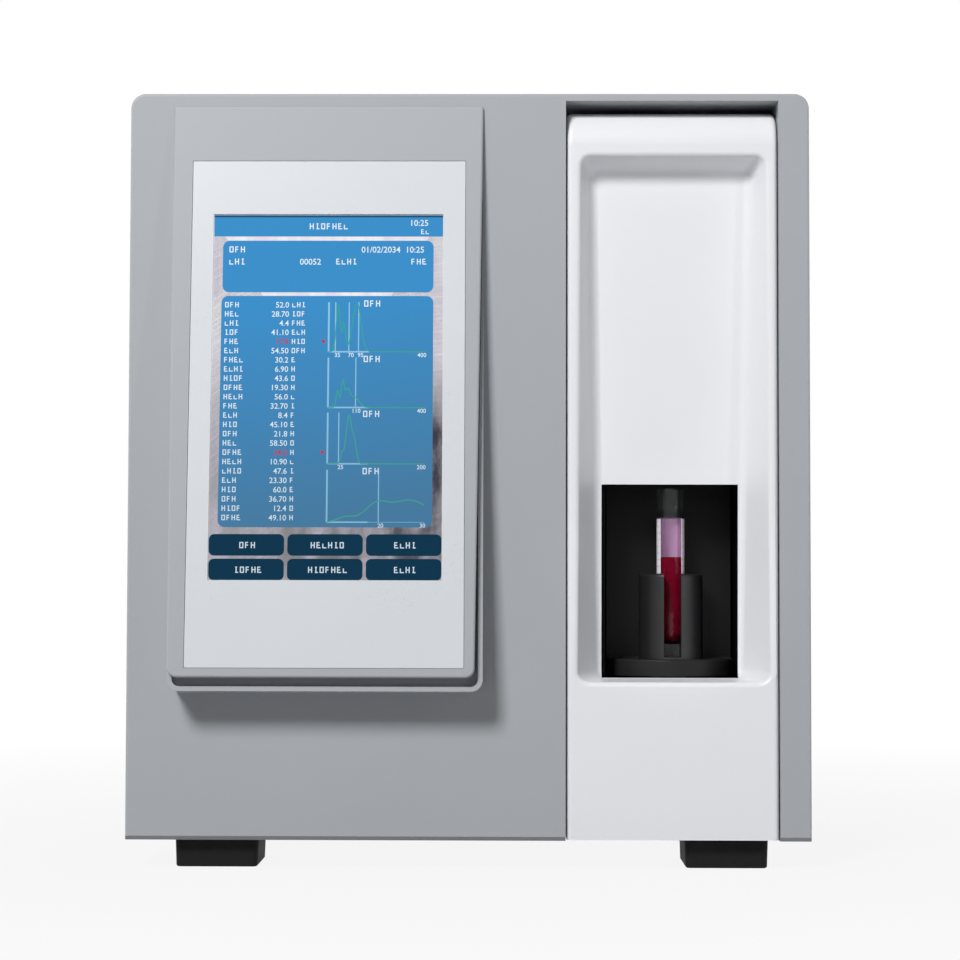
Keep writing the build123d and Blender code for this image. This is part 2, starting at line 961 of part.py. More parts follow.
with BuildPart() as tube_label:
    with BuildSketch(level(tube_bottom + label_rise)):
        with Locations((rotor_x, tube_y)):
            Circle(tube_radius + label_thickness)
            Circle(tube_radius, mode=Mode.SUBTRACT)
        label_gap_reach = 2 * tube_radius
        label_gap_half = label_gap_reach * tan(radians(label_gap_angle / 2))
        with BuildLine():
            Polyline(
                (rotor_x, tube_y),
                (rotor_x - label_gap_half, tube_y - label_gap_reach),
                (rotor_x + label_gap_half, tube_y - label_gap_reach),
                close=True,
            )
        make_face(mode=Mode.SUBTRACT)
    extrude(amount=label_height)
save(tube_label.part, "tube_label")

# Main cover: top and two sides in one sheet, open behind, with the service doorway
with BuildPart() as main_cover:
    with BuildSketch(facing(cover_back)):
        add(case_outline(0, foot_height, corner_radius))
        add(case_outline(wall, foot_height - wall, inner_corner_radius), mode=Mode.SUBTRACT)
    extrude(amount=cover_back - fascia_back)
    with BuildSketch(side_on(door_x)):
        with Locations((door_rear_y + door_gap, door_bottom - door_gap)):
            Rectangle(
                door_length + 2 * door_gap,
                door_height + 2 * door_gap,
                align=(Align.MAX, Align.MIN),
            )
    extrude(amount=2 * wall, mode=Mode.SUBTRACT)
    for z in (door_bottom - door_gap - hinge_block_height, door_top + door_gap):
        with BuildSketch(level(z)):
            with Locations((door_x + wall, door_axis_y)):
                Rectangle(
                    door_rim - wall, hinge_block_width, align=(Align.MIN, Align.CENTER)
                )
        extrude(amount=hinge_block_height)
        with BuildSketch(level(z)):
            with Locations((door_axis_x, door_axis_y)):
                Circle(door_pin_radius)
        extrude(amount=hinge_block_height, mode=Mode.SUBTRACT)
    with BuildSketch(side_on(door_x + wall)):
        with Locations((door_rear_y - door_length - 2 * door_gap, latch_z)):
            Rectangle(hinge_block_height / 2, 3 * cam_width, align=(Align.MAX, Align.CENTER))
    extrude(amount=door_rim - wall)
    with BuildSketch(side_on(half_width - 2 * wall)):
        with Locations((side_vent_y, case_height - side_vent_drop)):
            with GridLocations(0, vent_pitch, 1, vent_count):
                SlotOverall(vent_length, vent_height)
    extrude(amount=4 * wall, mode=Mode.SUBTRACT)
save(main_cover.part, "main_cover")

# Service door: a shallow tray that swings on two pins near its rear edge
with BuildPart() as side_door:
    with BuildSketch(side_on(door_x)):
        with Locations((door_rear_y, door_bottom)):
            Rectangle(door_length, door_height, align=(Align.MAX, Align.MIN))
    extrude(amount=door_rim)
    rear_edges = side_door.edges().filter_by(Axis.Z).group_by(Axis.Y)[-1]
    fillet(rear_edges, door_pin_inset - door_pin_cover)
    with BuildSketch(side_on(door_x + door_skin)):
        with Locations((door_rear_y - door_rim, door_bottom + door_skin + door_inner_margin)):
            Rectangle(
                door_length - door_rim - door_skin - door_inner_margin,
                door_height - 2 * (door_skin + door_inner_margin),
                align=(Align.MAX, Align.MIN),
            )
    extrude(amount=door_rim, mode=Mode.SUBTRACT)
    for z in (door_bottom, door_bottom + door_height - door_pin_length):
        with BuildSketch(level(z)):
            with Locations((door_axis_x, door_axis_y)):
                Circle(door_pin_radius + running_gap)
        extrude(amount=door_pin_length, mode=Mode.SUBTRACT)
    with BuildSketch(side_on(door_x)):
        with Locations((latch_y, latch_z)):
            Circle(latch_radius + latch_boss_margin)
    extrude(amount=latch_boss)
    with BuildSketch(side_on(door_x)):
        with Locations((latch_y, latch_z)):
            Circle(latch_radius + running_gap)
    extrude(amount=latch_knob + cam_gap, mode=Mode.SUBTRACT)
    with BuildSketch(side_on(door_x)):
        with Locations((latch_y, latch_z)):
            Circle(latch_shaft + running_gap)
    extrude(amount=latch_boss, mode=Mode.SUBTRACT)
save(side_door.part, "side_door")

with BuildPart() as hinge_pins:
    for z in (
        door_bottom - door_gap - hinge_block_height,
        door_top - door_pin_length + seat_gap,
    ):
        with BuildSketch(level(z)):
            with Locations((door_axis_x, door_axis_y)):
                Circle(door_pin_radius)
        extrude(amount=hinge_block_height + door_gap + door_pin_length - seat_gap)
save(hinge_pins.part, "hinge_pins")

# Door latch: a slotted knob set into the door, with a cam on its inner end
with BuildPart() as door_latch:
    with BuildSketch(side_on(door_x)):
        with Locations((latch_y, latch_z)):
            Circle(latch_radius)
    extrude(amount=latch_knob)
    with BuildSketch(side_on(door_x)):
        with Locations((latch_y, latch_z)):
            Circle(latch_shaft)
    extrude(amount=cam_x + cam_thickness - door_x)
    with BuildSketch(side_on(cam_x)):
        with Locations((latch_y, latch_z - cam_width / 2)):
            RectangleRounded(
                cam_width,
                cam_length + cam_width / 2,
                cam_corner,
                align=(Align.CENTER, Align.MIN),
            )
    extrude(amount=cam_thickness)
    with BuildSketch(side_on(door_x)):
        with Locations((latch_y, latch_z)):
            SlotOverall(1.5 * latch_radius, latch_slot, rotation=90)
    extrude(amount=latch_knob / 2, mode=Mode.SUBTRACT)
save(door_latch.part, "door_latch")

# Rear panel with its cut-outs
screw_x = half_width - screw_inset
screw_mid_z = (case_height + foot_height) / 2
screw_pitch = (case_height - foot_height - 2 * screw_margin) / (screw_rows - 1)
with BuildPart() as rear_panel:
    with BuildSketch(facing(rear_y)):
        add(case_outline(0, foot_height, corner_radius))
        with Locations((fan_x, fan_z)):
            Circle(fan_bore, mode=Mode.SUBTRACT)
        with Locations((inlet_x, inlet_z)):
            Rectangle(inlet_width, inlet_height, mode=Mode.SUBTRACT)
        with Locations((switch_x, inlet_z)):
            Rectangle(switch_width, switch_height, mode=Mode.SUBTRACT)
        with Locations((socket_x, socket_z)):
            Rectangle(socket_width, socket_height, mode=Mode.SUBTRACT)
        with Locations((port_x, port_z)):
            with GridLocations(0, port_pitch, 1, port_count):
                Circle(port_collar_radius / 2, mode=Mode.SUBTRACT)
        with Locations((0, screw_mid_z)):
            with GridLocations(2 * screw_x, screw_pitch, 2, screw_rows):
                Circle(screw_radius_small, mode=Mode.SUBTRACT)
        with Locations((rear_vent_x, case_height - rear_vent_drop)):
            with GridLocations(0, vent_pitch, 1, rear_vent_count):
                SlotOverall(vent_length, vent_height, mode=Mode.SUBTRACT)
    extrude(amount=rear_thickness)
save(rear_panel.part, "rear_panel")

with BuildPart() as case_screws:
    with BuildSketch(facing(rear_y)):
        with Locations((0, screw_mid_z)):
            with GridLocations(2 * screw_x, screw_pitch, 2, screw_rows):
                Circle(screw_radius_small)
    extrude(amount=rear_thickness)
    with BuildSketch(facing(rear_y)):
        with Locations((0, screw_mid_z)):
            with GridLocations(2 * screw_x, screw_pitch, 2, screw_rows):
                Circle(2 * screw_radius_small)
    extrude(amount=-screw_radius_small)
save(case_screws.part, "case_screws")

# Cooling fan behind the rear panel: frame, rotor and guard
fan_back = rear_y - rear_thickness
fan_front = fan_back - fan_depth + fan_spoke + fan_hub_gap
with BuildPart() as fan_frame:
    with BuildSketch(facing(fan_back)):
        with Locations((fan_x, fan_z)):
            RectangleRounded(fan_size, fan_size, fan_corner)
            Circle(fan_bore, mode=Mode.SUBTRACT)
    extrude(amount=fan_depth)
    with BuildSketch(facing(fan_back - fan_depth + fan_spoke)):
        with Locations((fan_x, fan_z)):
            Circle(fan_hub)
            Rectangle(2 * fan_bore + fan_spoke, fan_spoke)
            Rectangle(fan_spoke, 2 * fan_bore + fan_spoke)
    extrude(amount=fan_spoke)
save(fan_frame.part, "fan_frame")


def blade_section(y, rise):
    """Section of the fan blade at depth y, its root and tip raised by rise."""
    root_x = fan_x + fan_hub - blade_root
    tip_x = fan_x + fan_bore - fan_tip_gap
    low = fan_z + rise
    with BuildSketch(facing(y)) as section:
        with BuildLine():
            Polyline(
                (root_x, low),
                (tip_x, low),
                (tip_x, low + blade_thickness),
                (root_x, low + blade_thickness),
                close=True,
            )
        make_face()
    return section.sketch


with BuildPart() as fan_rotor:
    with BuildSketch(facing(fan_back - blade_root)):
        with Locations((fan_x, fan_z)):
            Circle(fan_hub)
    extrude(amount=fan_back - blade_root - fan_front)
    with BuildPart(mode=Mode.PRIVATE) as fan_blade:
        add(blade_section(fan_back - 2 * blade_root, -blade_rise_back))
        add(blade_section(fan_front + blade_root, blade_rise_front - blade_thickness))
        loft(ruled=True)
    fan_axis = Axis((fan_x, 0, fan_z), (0, 1, 0))
    for turn in range(fan_blades):
        add(fan_blade.part.rotate(fan_axis, turn * 360 / fan_blades))
save(fan_rotor.part, "fan_rotor")

with BuildPart() as fan_guard:
    with BuildSketch(facing(rear_y + guard_wire)):
        with Locations((fan_x, fan_z)):
            for ring in range(guard_rings):
                Circle(guard_inner + ring * guard_pitch)
                Circle(guard_inner + ring * guard_pitch - guard_wire, mode=Mode.SUBTRACT)
    extrude(amount=-guard_wire)
    with BuildSketch(facing(rear_y)):
        with Locations((fan_x, fan_z)):
            Rectangle(fan_size + 2 * guard_margin, guard_wire, rotation=45)
            Rectangle(fan_size + 2 * guard_margin, guard_wire, rotation=135)
    extrude(amount=-guard_wire)
save(fan_guard.part, "fan_guard")

# Mains inlet and rocker switch
with BuildPart() as power_inlet:
    with BuildSketch(facing(rear_y)):
        with Locations((inlet_x, inlet_z)):
            Rectangle(inlet_width - seat_gap, inlet_height - seat_gap)
    extrude(amount=inlet_depth)
    with BuildSketch(facing(rear_y)):
        with Locations((inlet_x, inlet_z)):
            RectangleRounded(
                inlet_width + 2 * inlet_margin, inlet_height + 2 * inlet_margin, inlet_corner
            )
    extrude(amount=-inlet_flange)
    with BuildSketch(facing(rear_y + inlet_flange)):
        with Locations((inlet_x, inlet_z)):
            RectangleRounded(
                inlet_width - 2 * inlet_rim, inlet_height - 2 * inlet_rim, inlet_corner
            )
    extrude(amount=inlet_depth - inlet_flange, mode=Mode.SUBTRACT)
    with BuildSketch(facing(rear_y - pin_setback)):
        with Locations((inlet_x, inlet_z + pin_offset)):
            Rectangle(pin_width, pin_height)
        with Locations((inlet_x, inlet_z - pin_offset)):
            with GridLocations(pin_pitch, 0, 2, 1):
                Rectangle(pin_width, pin_height)
    extrude(amount=inlet_depth - pin_setback - inlet_flange)
save(power_inlet.part, "power_inlet")

with BuildPart() as switch_housing:
    with BuildSketch(facing(rear_y)):
        with Locations((switch_x, inlet_z)):
            Rectangle(switch_width - seat_gap, switch_height - seat_gap)
    extrude(amount=switch_depth)
    with BuildSketch(facing(rear_y)):
        with Locations((switch_x, inlet_z)):
            RectangleRounded(
                switch_width + 2 * switch_margin,
                switch_height + 2 * switch_margin,
                switch_corner,
            )
    extrude(amount=-inlet_flange)
    with BuildSketch(facing(rear_y + inlet_flange)):
        with Locations((switch_x, inlet_z)):
            Rectangle(switch_width - 2 * switch_rim, switch_height - 2 * switch_rim)
    extrude(amount=switch_depth, mode=Mode.SUBTRACT)
save(switch_housing.part, "switch_housing")

rocker_axis_y = rear_y - rocker_inset
rocker_width = switch_width - 2 * (switch_rim + rocker_gap)
with BuildPart() as switch_rocker:
    with BuildSketch(side_on(switch_x - rocker_width / 2)):
        with BuildLine():
            Polyline(
                (rocker_axis_y + rocker_rise, inlet_z - rocker_half),
                (rocker_axis_y + rocker_rise - rocker_dip, inlet_z),
                (rocker_axis_y + rocker_rise, inlet_z + rocker_half),
                (rocker_axis_y - rocker_toe, inlet_z + rocker_half),
                (rocker_axis_y - rocker_keel, inlet_z + rocker_keel),
                (rocker_axis_y - rocker_keel, inlet_z - rocker_keel),
                (rocker_axis_y - rocker_toe, inlet_z - rocker_half),
                close=True,
            )
        make_face()
    extrude(amount=rocker_width)
rocker_axis = Axis((switch_x, rocker_axis_y, inlet_z), (1, 0, 0))
save(switch_rocker.part.rotate(rocker_axis, -rocker_swing / 2), "switch_rocker")

# Data sockets: two flat ones and a network one on a small board
socket_board_y = cover_back - socket_depth
with BuildPart() as data_sockets:
    with BuildSketch(facing(socket_board_y)):
        with Locations((socket_x, socket_z)):
            Rectangle(socket_width + flat_pitch, socket_height + flat_pitch)
    extrude(amount=board_thickness)
    with BuildSketch(facing(rear_y - socket_recess)):
        with Locations((socket_x + network_x, socket_z)):
            Rectangle(network_width, network_height)
        with Locations((socket_x + flat_x, socket_z)):
            with GridLocations(0, flat_pitch, 1, 2):
                Rectangle(flat_width, flat_height)
    extrude(amount=rear_y - socket_recess - socket_board_y)
    with BuildSketch(facing(rear_y)):
        with Locations((socket_x + network_x, socket_z)):
            Rectangle(network_width - 5 * socket_shell, network_height - 6 * socket_shell)
        with Locations((socket_x + flat_x, socket_z)):
            with GridLocations(0, flat_pitch, 1, 2):
                Rectangle(flat_width - 2 * socket_shell, flat_height - 2 * socket_shell)
    extrude(amount=socket_depth - 2 * socket_shell, mode=Mode.SUBTRACT)
    with BuildSketch(facing(rear_y - 2 * socket_shell)):
        with Locations((socket_x + flat_x, socket_z + socket_shell)):
            with GridLocations(0, flat_pitch, 1, 2):
                Rectangle(flat_width - 4 * socket_shell, 2 * socket_shell)
    extrude(amount=socket_depth - 3 * socket_shell)
save(data_sockets.part, "data_sockets")

# Reagent ports: a collar and a plain hose spigot each, with the inner stub
with BuildPart() as reagent_ports:
    with BuildSketch(facing(rear_y)):
        with Locations((port_x, port_z)):
            with GridLocations(0, port_pitch, 1, port_count):
                Circle(port_collar_radius)
    extrude(amount=-port_collar_height)
    with BuildSketch(facing(rear_y)):
        with Locations((port_x, port_z)):
            with GridLocations(0, port_pitch, 1, port_count):
                Circle(port_radius)
    extrude(amount=-port_reach)
    with BuildSketch(facing(rear_y)):
        with Locations((port_x, port_z)):
            with GridLocations(0, port_pitch, 1, port_count):
                Circle(port_collar_radius / 2)
    extrude(amount=rear_thickness + port_stub)
    with BuildSketch(facing(rear_y + port_reach)):
        with Locations((port_x, port_z)):
            with GridLocations(0, port_pitch, 1, port_count):
                Circle(port_radius / 2)
    extrude(amount=port_reach + rear_thickness + port_stub, mode=Mode.SUBTRACT)
save(reagent_ports.part, "reagent_ports")


# Inner frames: two folded uprights and a stand
def upright(x, thickness, front, back, top, flange):
    """A folded sheet upright with its foot flange turned to the left."""
    with BuildPart() as sheet:
        with BuildSketch(facing(back)):
            with BuildLine():
                Polyline(
                    (x + thickness, tray_top),
                    (x + thickness, top),
                    (x, top),
                    (x, tray_top + thickness),
                    (x - flange, tray_top + thickness),
                    (x - flange, tray_top),
                    close=True,
                )
            make_face()
        extrude(amount=back - front)
    return sheet.part


beam_window_y = bench_front + cable_window_length
beam_window_z = bench_z + cable_window_height
board_window_y = board_y + cable_window_length
board_window_z = board_z - board_height / 2 + cable_window_height
bulkhead_span = (bulkhead_front, bulkhead_back, bulkhead_top)
with BuildPart() as bulkhead:
    add(upright(bulkhead_x, bulkhead_thickness, *bulkhead_span, bulkhead_flange))
    with BuildSketch(side_on(bulkhead_x)):
        with Locations((beam_window_y, beam_window_z), (board_window_y, board_window_z)):
            RectangleRounded(cable_window_length, cable_window_height, cable_window_radius)
    extrude(amount=bulkhead_thickness, mode=Mode.SUBTRACT)
save(bulkhead.part, "bulkhead")

plate_window_z = pump_z + pump_size + cable_window_length
with BuildPart() as fluidics_plate:
    add(upright(plate_x, plate_thickness, plate_front, plate_back, plate_top, plate_flange))
    with BuildSketch(side_on(plate_x)):
        with Locations((pump_y, pump_z)):
            Circle(pump_shaft_radius + running_gap)
        with Locations((pump_y, plate_window_z)):
            RectangleRounded(cable_window_height, cable_window_length, cable_window_radius)
    extrude(amount=plate_thickness, mode=Mode.SUBTRACT)
save(fluidics_plate.part, "fluidics_plate")

with BuildPart() as sampler_stand:
    with BuildSketch(facing(stand_back)):
        with Locations((bay_x, tray_top)):
            Rectangle(stand_width, stand_top - tray_top, align=(Align.CENTER, Align.MIN))
            Rectangle(
                stand_width - 2 * stand_sheet,
                stand_top - tray_top - stand_sheet,
                align=(Align.CENTER, Align.MIN),
                mode=Mode.SUBTRACT,
            )
    extrude(amount=stand_back - stand_front)
    with BuildSketch(level(stand_top - stand_sheet)):
        with Locations((rotor_x, rotor_y)):
            Circle(bearing_radius)
    extrude(amount=stand_sheet, mode=Mode.SUBTRACT)
save(sampler_stand.part, "sampler_stand")

# Needle unit: cross rail, carriage, lift block, needle and their screws
rail_x = bulkhead_x + bulkhead_thickness + rail_standoff
rail_top = rail_bottom + rail_height
plate_face = rail_x + rail_thickness + grip + carriage_sheet
cross_screw_z = rail_bottom - cross_screw_drop
bracket_bottom = cross_screw_z - bracket_drop
cross_screw_x = rail_x + rail_thickness
with BuildPart() as cross_rail:
    with BuildSketch(side_on(rail_x)):
        with Locations((rail_front, rail_bottom)):
            Rectangle(rail_back - rail_front, rail_height, align=(Align.MIN, Align.MIN))
    extrude(amount=rail_thickness)
    with BuildSketch(side_on(bulkhead_x + bulkhead_thickness)):
        for y in (rail_front, rail_back - bracket_foot):
            with Locations((y, rail_bottom)):
                Rectangle(bracket_foot, rail_height, align=(Align.MIN, Align.MIN))
        for y in (rail_front, rail_back - bracket_width):
            with Locations((y, bracket_bottom)):
                Rectangle(
                    bracket_width, rail_bottom - bracket_bottom, align=(Align.MIN, Align.MIN)
                )
    extrude(amount=rail_standoff)
    with BuildSketch(side_on(rail_x)):
        for y in (rail_front, rail_back - bracket_width):
            with Locations((y, bracket_bottom)):
                Rectangle(
                    bracket_width, rail_bottom - bracket_bottom, align=(Align.MIN, Align.MIN)
                )
    extrude(amount=rail_thickness + bracket_drop)
    with BuildSketch(facing(rail_back)):
        with Locations((cross_screw_x, cross_screw_z)):
            Circle(motor_shaft_radius + running_gap)
    extrude(amount=rail_back - rail_front, mode=Mode.SUBTRACT)
save(cross_rail.part, "cross_rail")

carriage_front = needle_inside_y - carriage_width / 2
lift_screw_x = rotor_x - lift_screw_side
lift_screw_y = needle_inside_y + lift_screw_back
shelf_front = needle_inside_y + lift_rail_width / 4
with BuildPart() as needle_carriage:
    with BuildSketch(side_on(rail_x + carriage_gap)):
        with Locations((carriage_front, bracket_bottom)):
            Rectangle(
                carriage_width, rail_top + grip - bracket_bottom, align=(Align.MIN, Align.MIN)
            )
    extrude(amount=plate_face - carriage_sheet - rail_x - carriage_gap)
    with BuildSketch(side_on(plate_face - carriage_sheet)):
        with Locations((carriage_front, carriage_bottom)):
            Rectangle(
                carriage_width, carriage_top - carriage_bottom, align=(Align.MIN, Align.MIN)
            )
    extrude(amount=carriage_sheet)
    with BuildSketch(side_on(rail_x)):
        with Locations((carriage_front, rail_bottom - guide_gap)):
            Rectangle(carriage_width, rail_height + 2 * guide_gap, align=(Align.MIN, Align.MIN))
    extrude(amount=rail_thickness + guide_gap, mode=Mode.SUBTRACT)
    with BuildSketch(facing(carriage_front + carriage_width)):
        with Locations((cross_screw_x, cross_screw_z)):
            Circle(motor_shaft_radius + running_gap)
    extrude(amount=carriage_width, mode=Mode.SUBTRACT)
    with BuildSketch(side_on(plate_face)):
        with Locations((needle_inside_y, carriage_bottom)):
            Rectangle(
                lift_rail_width, carriage_top - carriage_bottom, align=(Align.CENTER, Align.MIN)
            )
    extrude(amount=lift_rail_depth)
    with BuildSketch(level(carriage_bottom - shelf_thickness)):
        with Locations((plate_face - carriage_sheet, shelf_front)):
            Rectangle(
                lift_screw_x + shelf_margin - plate_face + carriage_sheet,
                lift_screw_y + shelf_margin - shelf_front,
                align=(Align.MIN, Align.MIN),
            )
    extrude(amount=shelf_thickness)
    with BuildSketch(level(carriage_top - head_sheet)):
        with Locations((plate_face, needle_inside_y - head_front)):
            Rectangle(head_width, head_length, align=(Align.MIN, Align.MIN))
    extrude(amount=head_sheet)
    with BuildSketch(level(carriage_bottom - shelf_thickness)):
        with Locations((lift_screw_x, lift_screw_y)):
            Circle(motor_shaft_radius + running_gap)
    extrude(amount=2 * case_height, mode=Mode.SUBTRACT)
save(needle_carriage.part, "needle_carriage")

with BuildPart() as needle_block:
    with BuildSketch(level(lift_bottom)):
        with Locations((plate_face + guide_gap, needle_inside_y)):
            Rectangle(
                rotor_x + block_margin - plate_face - guide_gap,
                block_length,
                align=(Align.MIN, Align.CENTER),
            )
            Rectangle(
                lift_rail_depth,
                lift_rail_width + 2 * guide_gap,
                align=(Align.MIN, Align.CENTER),
                mode=Mode.SUBTRACT,
            )
        with Locations((lift_screw_x, lift_screw_y)):
            Circle(motor_shaft_radius + running_gap, mode=Mode.SUBTRACT)
        with Locations((rotor_x, needle_inside_y)):
            Circle(needle_radius, mode=Mode.SUBTRACT)
    extrude(amount=lift_height)
save(needle_block.part, "needle_block")

needle_top = lift_bottom + lift_height + needle_hub_height
with BuildPart() as sample_needle:
    with BuildSketch(side_on(rotor_x)):
        with BuildLine():
            Polyline(
                (needle_inside_y, needle_tip),
                (needle_inside_y + needle_radius, needle_tip + needle_point),
                (needle_inside_y + needle_radius, lift_bottom + lift_height),
                (needle_inside_y + needle_hub_radius, lift_bottom + lift_height),
                (needle_inside_y + needle_hub_radius, needle_top),
                (needle_inside_y, needle_top),
                close=True,
            )
        make_face()
    revolve(axis=Axis((rotor_x, needle_inside_y, 0), (0, 0, 1)))
save(sample_needle.part, "sample_needle")

with BuildPart() as lift_screw:
    with BuildSketch(level(carriage_bottom - shelf_thickness)):
        with Locations((lift_screw_x, lift_screw_y)):
            Circle(motor_shaft_radius)
    extrude(amount=carriage_top - carriage_bottom + shelf_thickness)
save(lift_screw.part, "lift_screw")

with BuildPart() as lift_motor:
    with BuildSketch(level(carriage_top)):
        with Locations((lift_screw_x, lift_screw_y)):
            RectangleRounded(small_motor, small_motor, small_motor_corner)
    extrude(amount=lift_motor_height)
save(lift_motor.part, "lift_motor")

with BuildPart() as carriage_screw:
    with BuildSketch(facing(rail_back)):
        with Locations((cross_screw_x, cross_screw_z)):
            Circle(motor_shaft_radius)
    extrude(amount=rail_back - rail_front)
save(carriage_screw.part, "carriage_screw")

with BuildPart() as carriage_motor:
    with BuildSketch(facing(rail_back)):
        with Locations((cross_screw_x, cross_screw_z)):
            RectangleRounded(small_motor, small_motor, small_motor_corner)
    extrude(amount=-lift_motor_height)
save(carriage_motor.part, "carriage_motor")

# Counting cups on their bracket, under the needle's far stops
cup_far_y = needle_inside_y + carriage_travel
cup_plate_left = bulkhead_x + bulkhead_thickness
cup_plate_width = rotor_x + cup_radius + cup_plate_margin - cup_plate_left
cup_mid_y = cup_far_y - cup_pitch / 2
cup_plate_length = cup_pitch + 2 * (cup_radius + cup_plate_margin)
with BuildPart() as cup_bracket:
    with BuildSketch(facing(cup_mid_y + cup_plate_length / 2)):
        with Locations((cup_plate_left, cup_bottom - cup_sheet)):
            Rectangle(cup_plate_width, cup_sheet, align=(Align.MIN, Align.MIN))
            Rectangle(cup_sheet, cup_plate_side, align=(Align.MIN, Align.MIN))
    extrude(amount=cup_plate_length)
    with BuildSketch(level(cup_bottom - cup_sheet)):
        with Locations((rotor_x, cup_mid_y)):
            with GridLocations(0, cup_pitch, 1, 2):
                Circle(cup_port_radius)
    extrude(amount=cup_sheet, mode=Mode.SUBTRACT)
save(cup_bracket.part, "cup_bracket")

with BuildPart() as counting_cups:
    with BuildSketch(level(cup_bottom)):
        with Locations((rotor_x, cup_mid_y)):
            with GridLocations(0, cup_pitch, 1, 2):
                Circle(cup_radius)
    extrude(amount=cup_height)
    with BuildSketch(level(cup_bottom + cup_floor)):
        with Locations((rotor_x, cup_mid_y)):
            with GridLocations(0, cup_pitch, 1, 2):
                Circle(cup_bore)
    extrude(amount=cup_height, mode=Mode.SUBTRACT)
    with BuildSketch(level(cup_bottom + cup_floor)):
        with Locations((rotor_x, cup_mid_y)):
            with GridLocations(0, cup_pitch, 1, 2):
                Circle(cup_port_radius)
    extrude(amount=-cup_floor - cup_sheet)
save(counting_cups.part, "counting_cups")

# Syringe unit on the left face of the fluidics plate
barrel_bottom = syringe_top - syringe_bracket - barrel_length
piston_top = syringe_top - syringe_bracket - piston_gap
with BuildPart() as syringe_frame:
    with BuildSketch(side_on(plate_x - frame_sheet)):
        with Locations((syringe_y, syringe_bottom)):
            Rectangle(
                syringe_width, syringe_top - syringe_bottom, align=(Align.CENTER, Align.MIN)
            )
    extrude(amount=frame_sheet)
    for z in (syringe_bottom, barrel_bottom - syringe_bracket, syringe_top - syringe_bracket):
        with BuildSketch(level(z)):
            with Locations((plate_x - frame_sheet, syringe_y)):
                Rectangle(syringe_shelf, syringe_width, align=(Align.MAX, Align.CENTER))
        extrude(amount=syringe_bracket)
    with BuildSketch(level(syringe_bottom)):
        with Locations((syringe_x, syringe_y)):
            Circle(screw_radius + running_gap)
    extrude(amount=barrel_bottom - syringe_bottom, mode=Mode.SUBTRACT)
    with BuildSketch(level(barrel_bottom - syringe_bracket)):
        with Locations((syringe_x, syringe_y)):
            with GridLocations(0, syringe_pitch, 1, 2):
                Circle(plunger_radius + guide_gap)
    extrude(amount=syringe_bracket, mode=Mode.SUBTRACT)
save(syringe_frame.part, "syringe_frame")

with BuildPart() as syringe_barrels:
    with BuildSketch(level(barrel_bottom)):
        with Locations((syringe_x, syringe_y)):
            with GridLocations(0, syringe_pitch, 1, 2):
                Circle(barrel_radius)
                Circle(barrel_bore, mode=Mode.SUBTRACT)
    extrude(amount=barrel_length)
save(syringe_barrels.part, "syringe_barrels")

with BuildPart() as syringe_crosshead:
    with BuildSketch(level(crosshead_z)):
        with Locations((syringe_x, syringe_y)):
            RectangleRounded(
                crosshead_width, syringe_pitch + 2 * crosshead_margin, crosshead_corner
            )
            Circle(screw_radius + running_gap, mode=Mode.SUBTRACT)
            with GridLocations(0, syringe_pitch, 1, 2):
                Circle(plunger_radius, mode=Mode.SUBTRACT)
    extrude(amount=crosshead_height)
save(syringe_crosshead.part, "syringe_crosshead")

with BuildPart() as syringe_plungers:
    with BuildSketch(level(crosshead_z)):
        with Locations((syringe_x, syringe_y)):
            with GridLocations(0, syringe_pitch, 1, 2):
                Circle(plunger_radius)
    extrude(amount=piston_top - crosshead_z)
    with BuildSketch(level(piston_top - piston_height)):
        with Locations((syringe_x, syringe_y)):
            with GridLocations(0, syringe_pitch, 1, 2):
                Circle(barrel_bore - running_gap)
    extrude(amount=piston_height)
save(syringe_plungers.part, "syringe_plungers")

with BuildPart() as syringe_screw:
    with BuildSketch(level(syringe_bottom)):
        with Locations((syringe_x, syringe_y)):
            Circle(screw_radius)
    extrude(amount=barrel_bottom - syringe_bottom - seat_gap)
save(syringe_screw.part, "syringe_screw")

with BuildPart() as syringe_motor:
    with BuildSketch(level(syringe_bottom)):
        with Locations((syringe_x, syringe_y)):
            RectangleRounded(motor_size, motor_size, motor_corner)
    extrude(amount=-syringe_motor_height)
save(syringe_motor.part, "syringe_motor")

# Tubing pump: a round cavity with three rollers
pump_face = plate_x - pump_depth
with BuildPart() as pump_body:
    with BuildSketch(side_on(pump_face)):
        with Locations((pump_y, pump_z)):
            RectangleRounded(pump_size, pump_size, pump_corner)
    extrude(amount=pump_depth)
    with BuildSketch(side_on(pump_face)):
        with Locations((pump_y, pump_z)):
            Circle(pump_cavity)
    extrude(amount=pump_depth - pump_back, mode=Mode.SUBTRACT)
    with BuildSketch(side_on(pump_face)):
        with Locations((pump_y, pump_z)):
            Circle(pump_shaft_radius + running_gap)
    extrude(amount=pump_depth, mode=Mode.SUBTRACT)
save(pump_body.part, "pump_body")

with BuildPart() as pump_rotor:
    with BuildSketch(side_on(pump_face)):
        with Locations((pump_y, pump_z)):
            Circle(pump_roller_circle)
    extrude(amount=pump_hub)
    with BuildSketch(side_on(pump_face)):
        with Locations((pump_y, pump_z)):
            with PolarLocations(pump_roller_circle, pump_rollers):
                Circle(pump_roller_radius)
    extrude(amount=pump_depth - pump_back - pump_roller_gap)
    with BuildSketch(side_on(pump_face)):
        with Locations((pump_y, pump_z)):
            Circle(pump_shaft_radius)
    extrude(amount=pump_depth + plate_thickness)
save(pump_rotor.part, "pump_rotor")

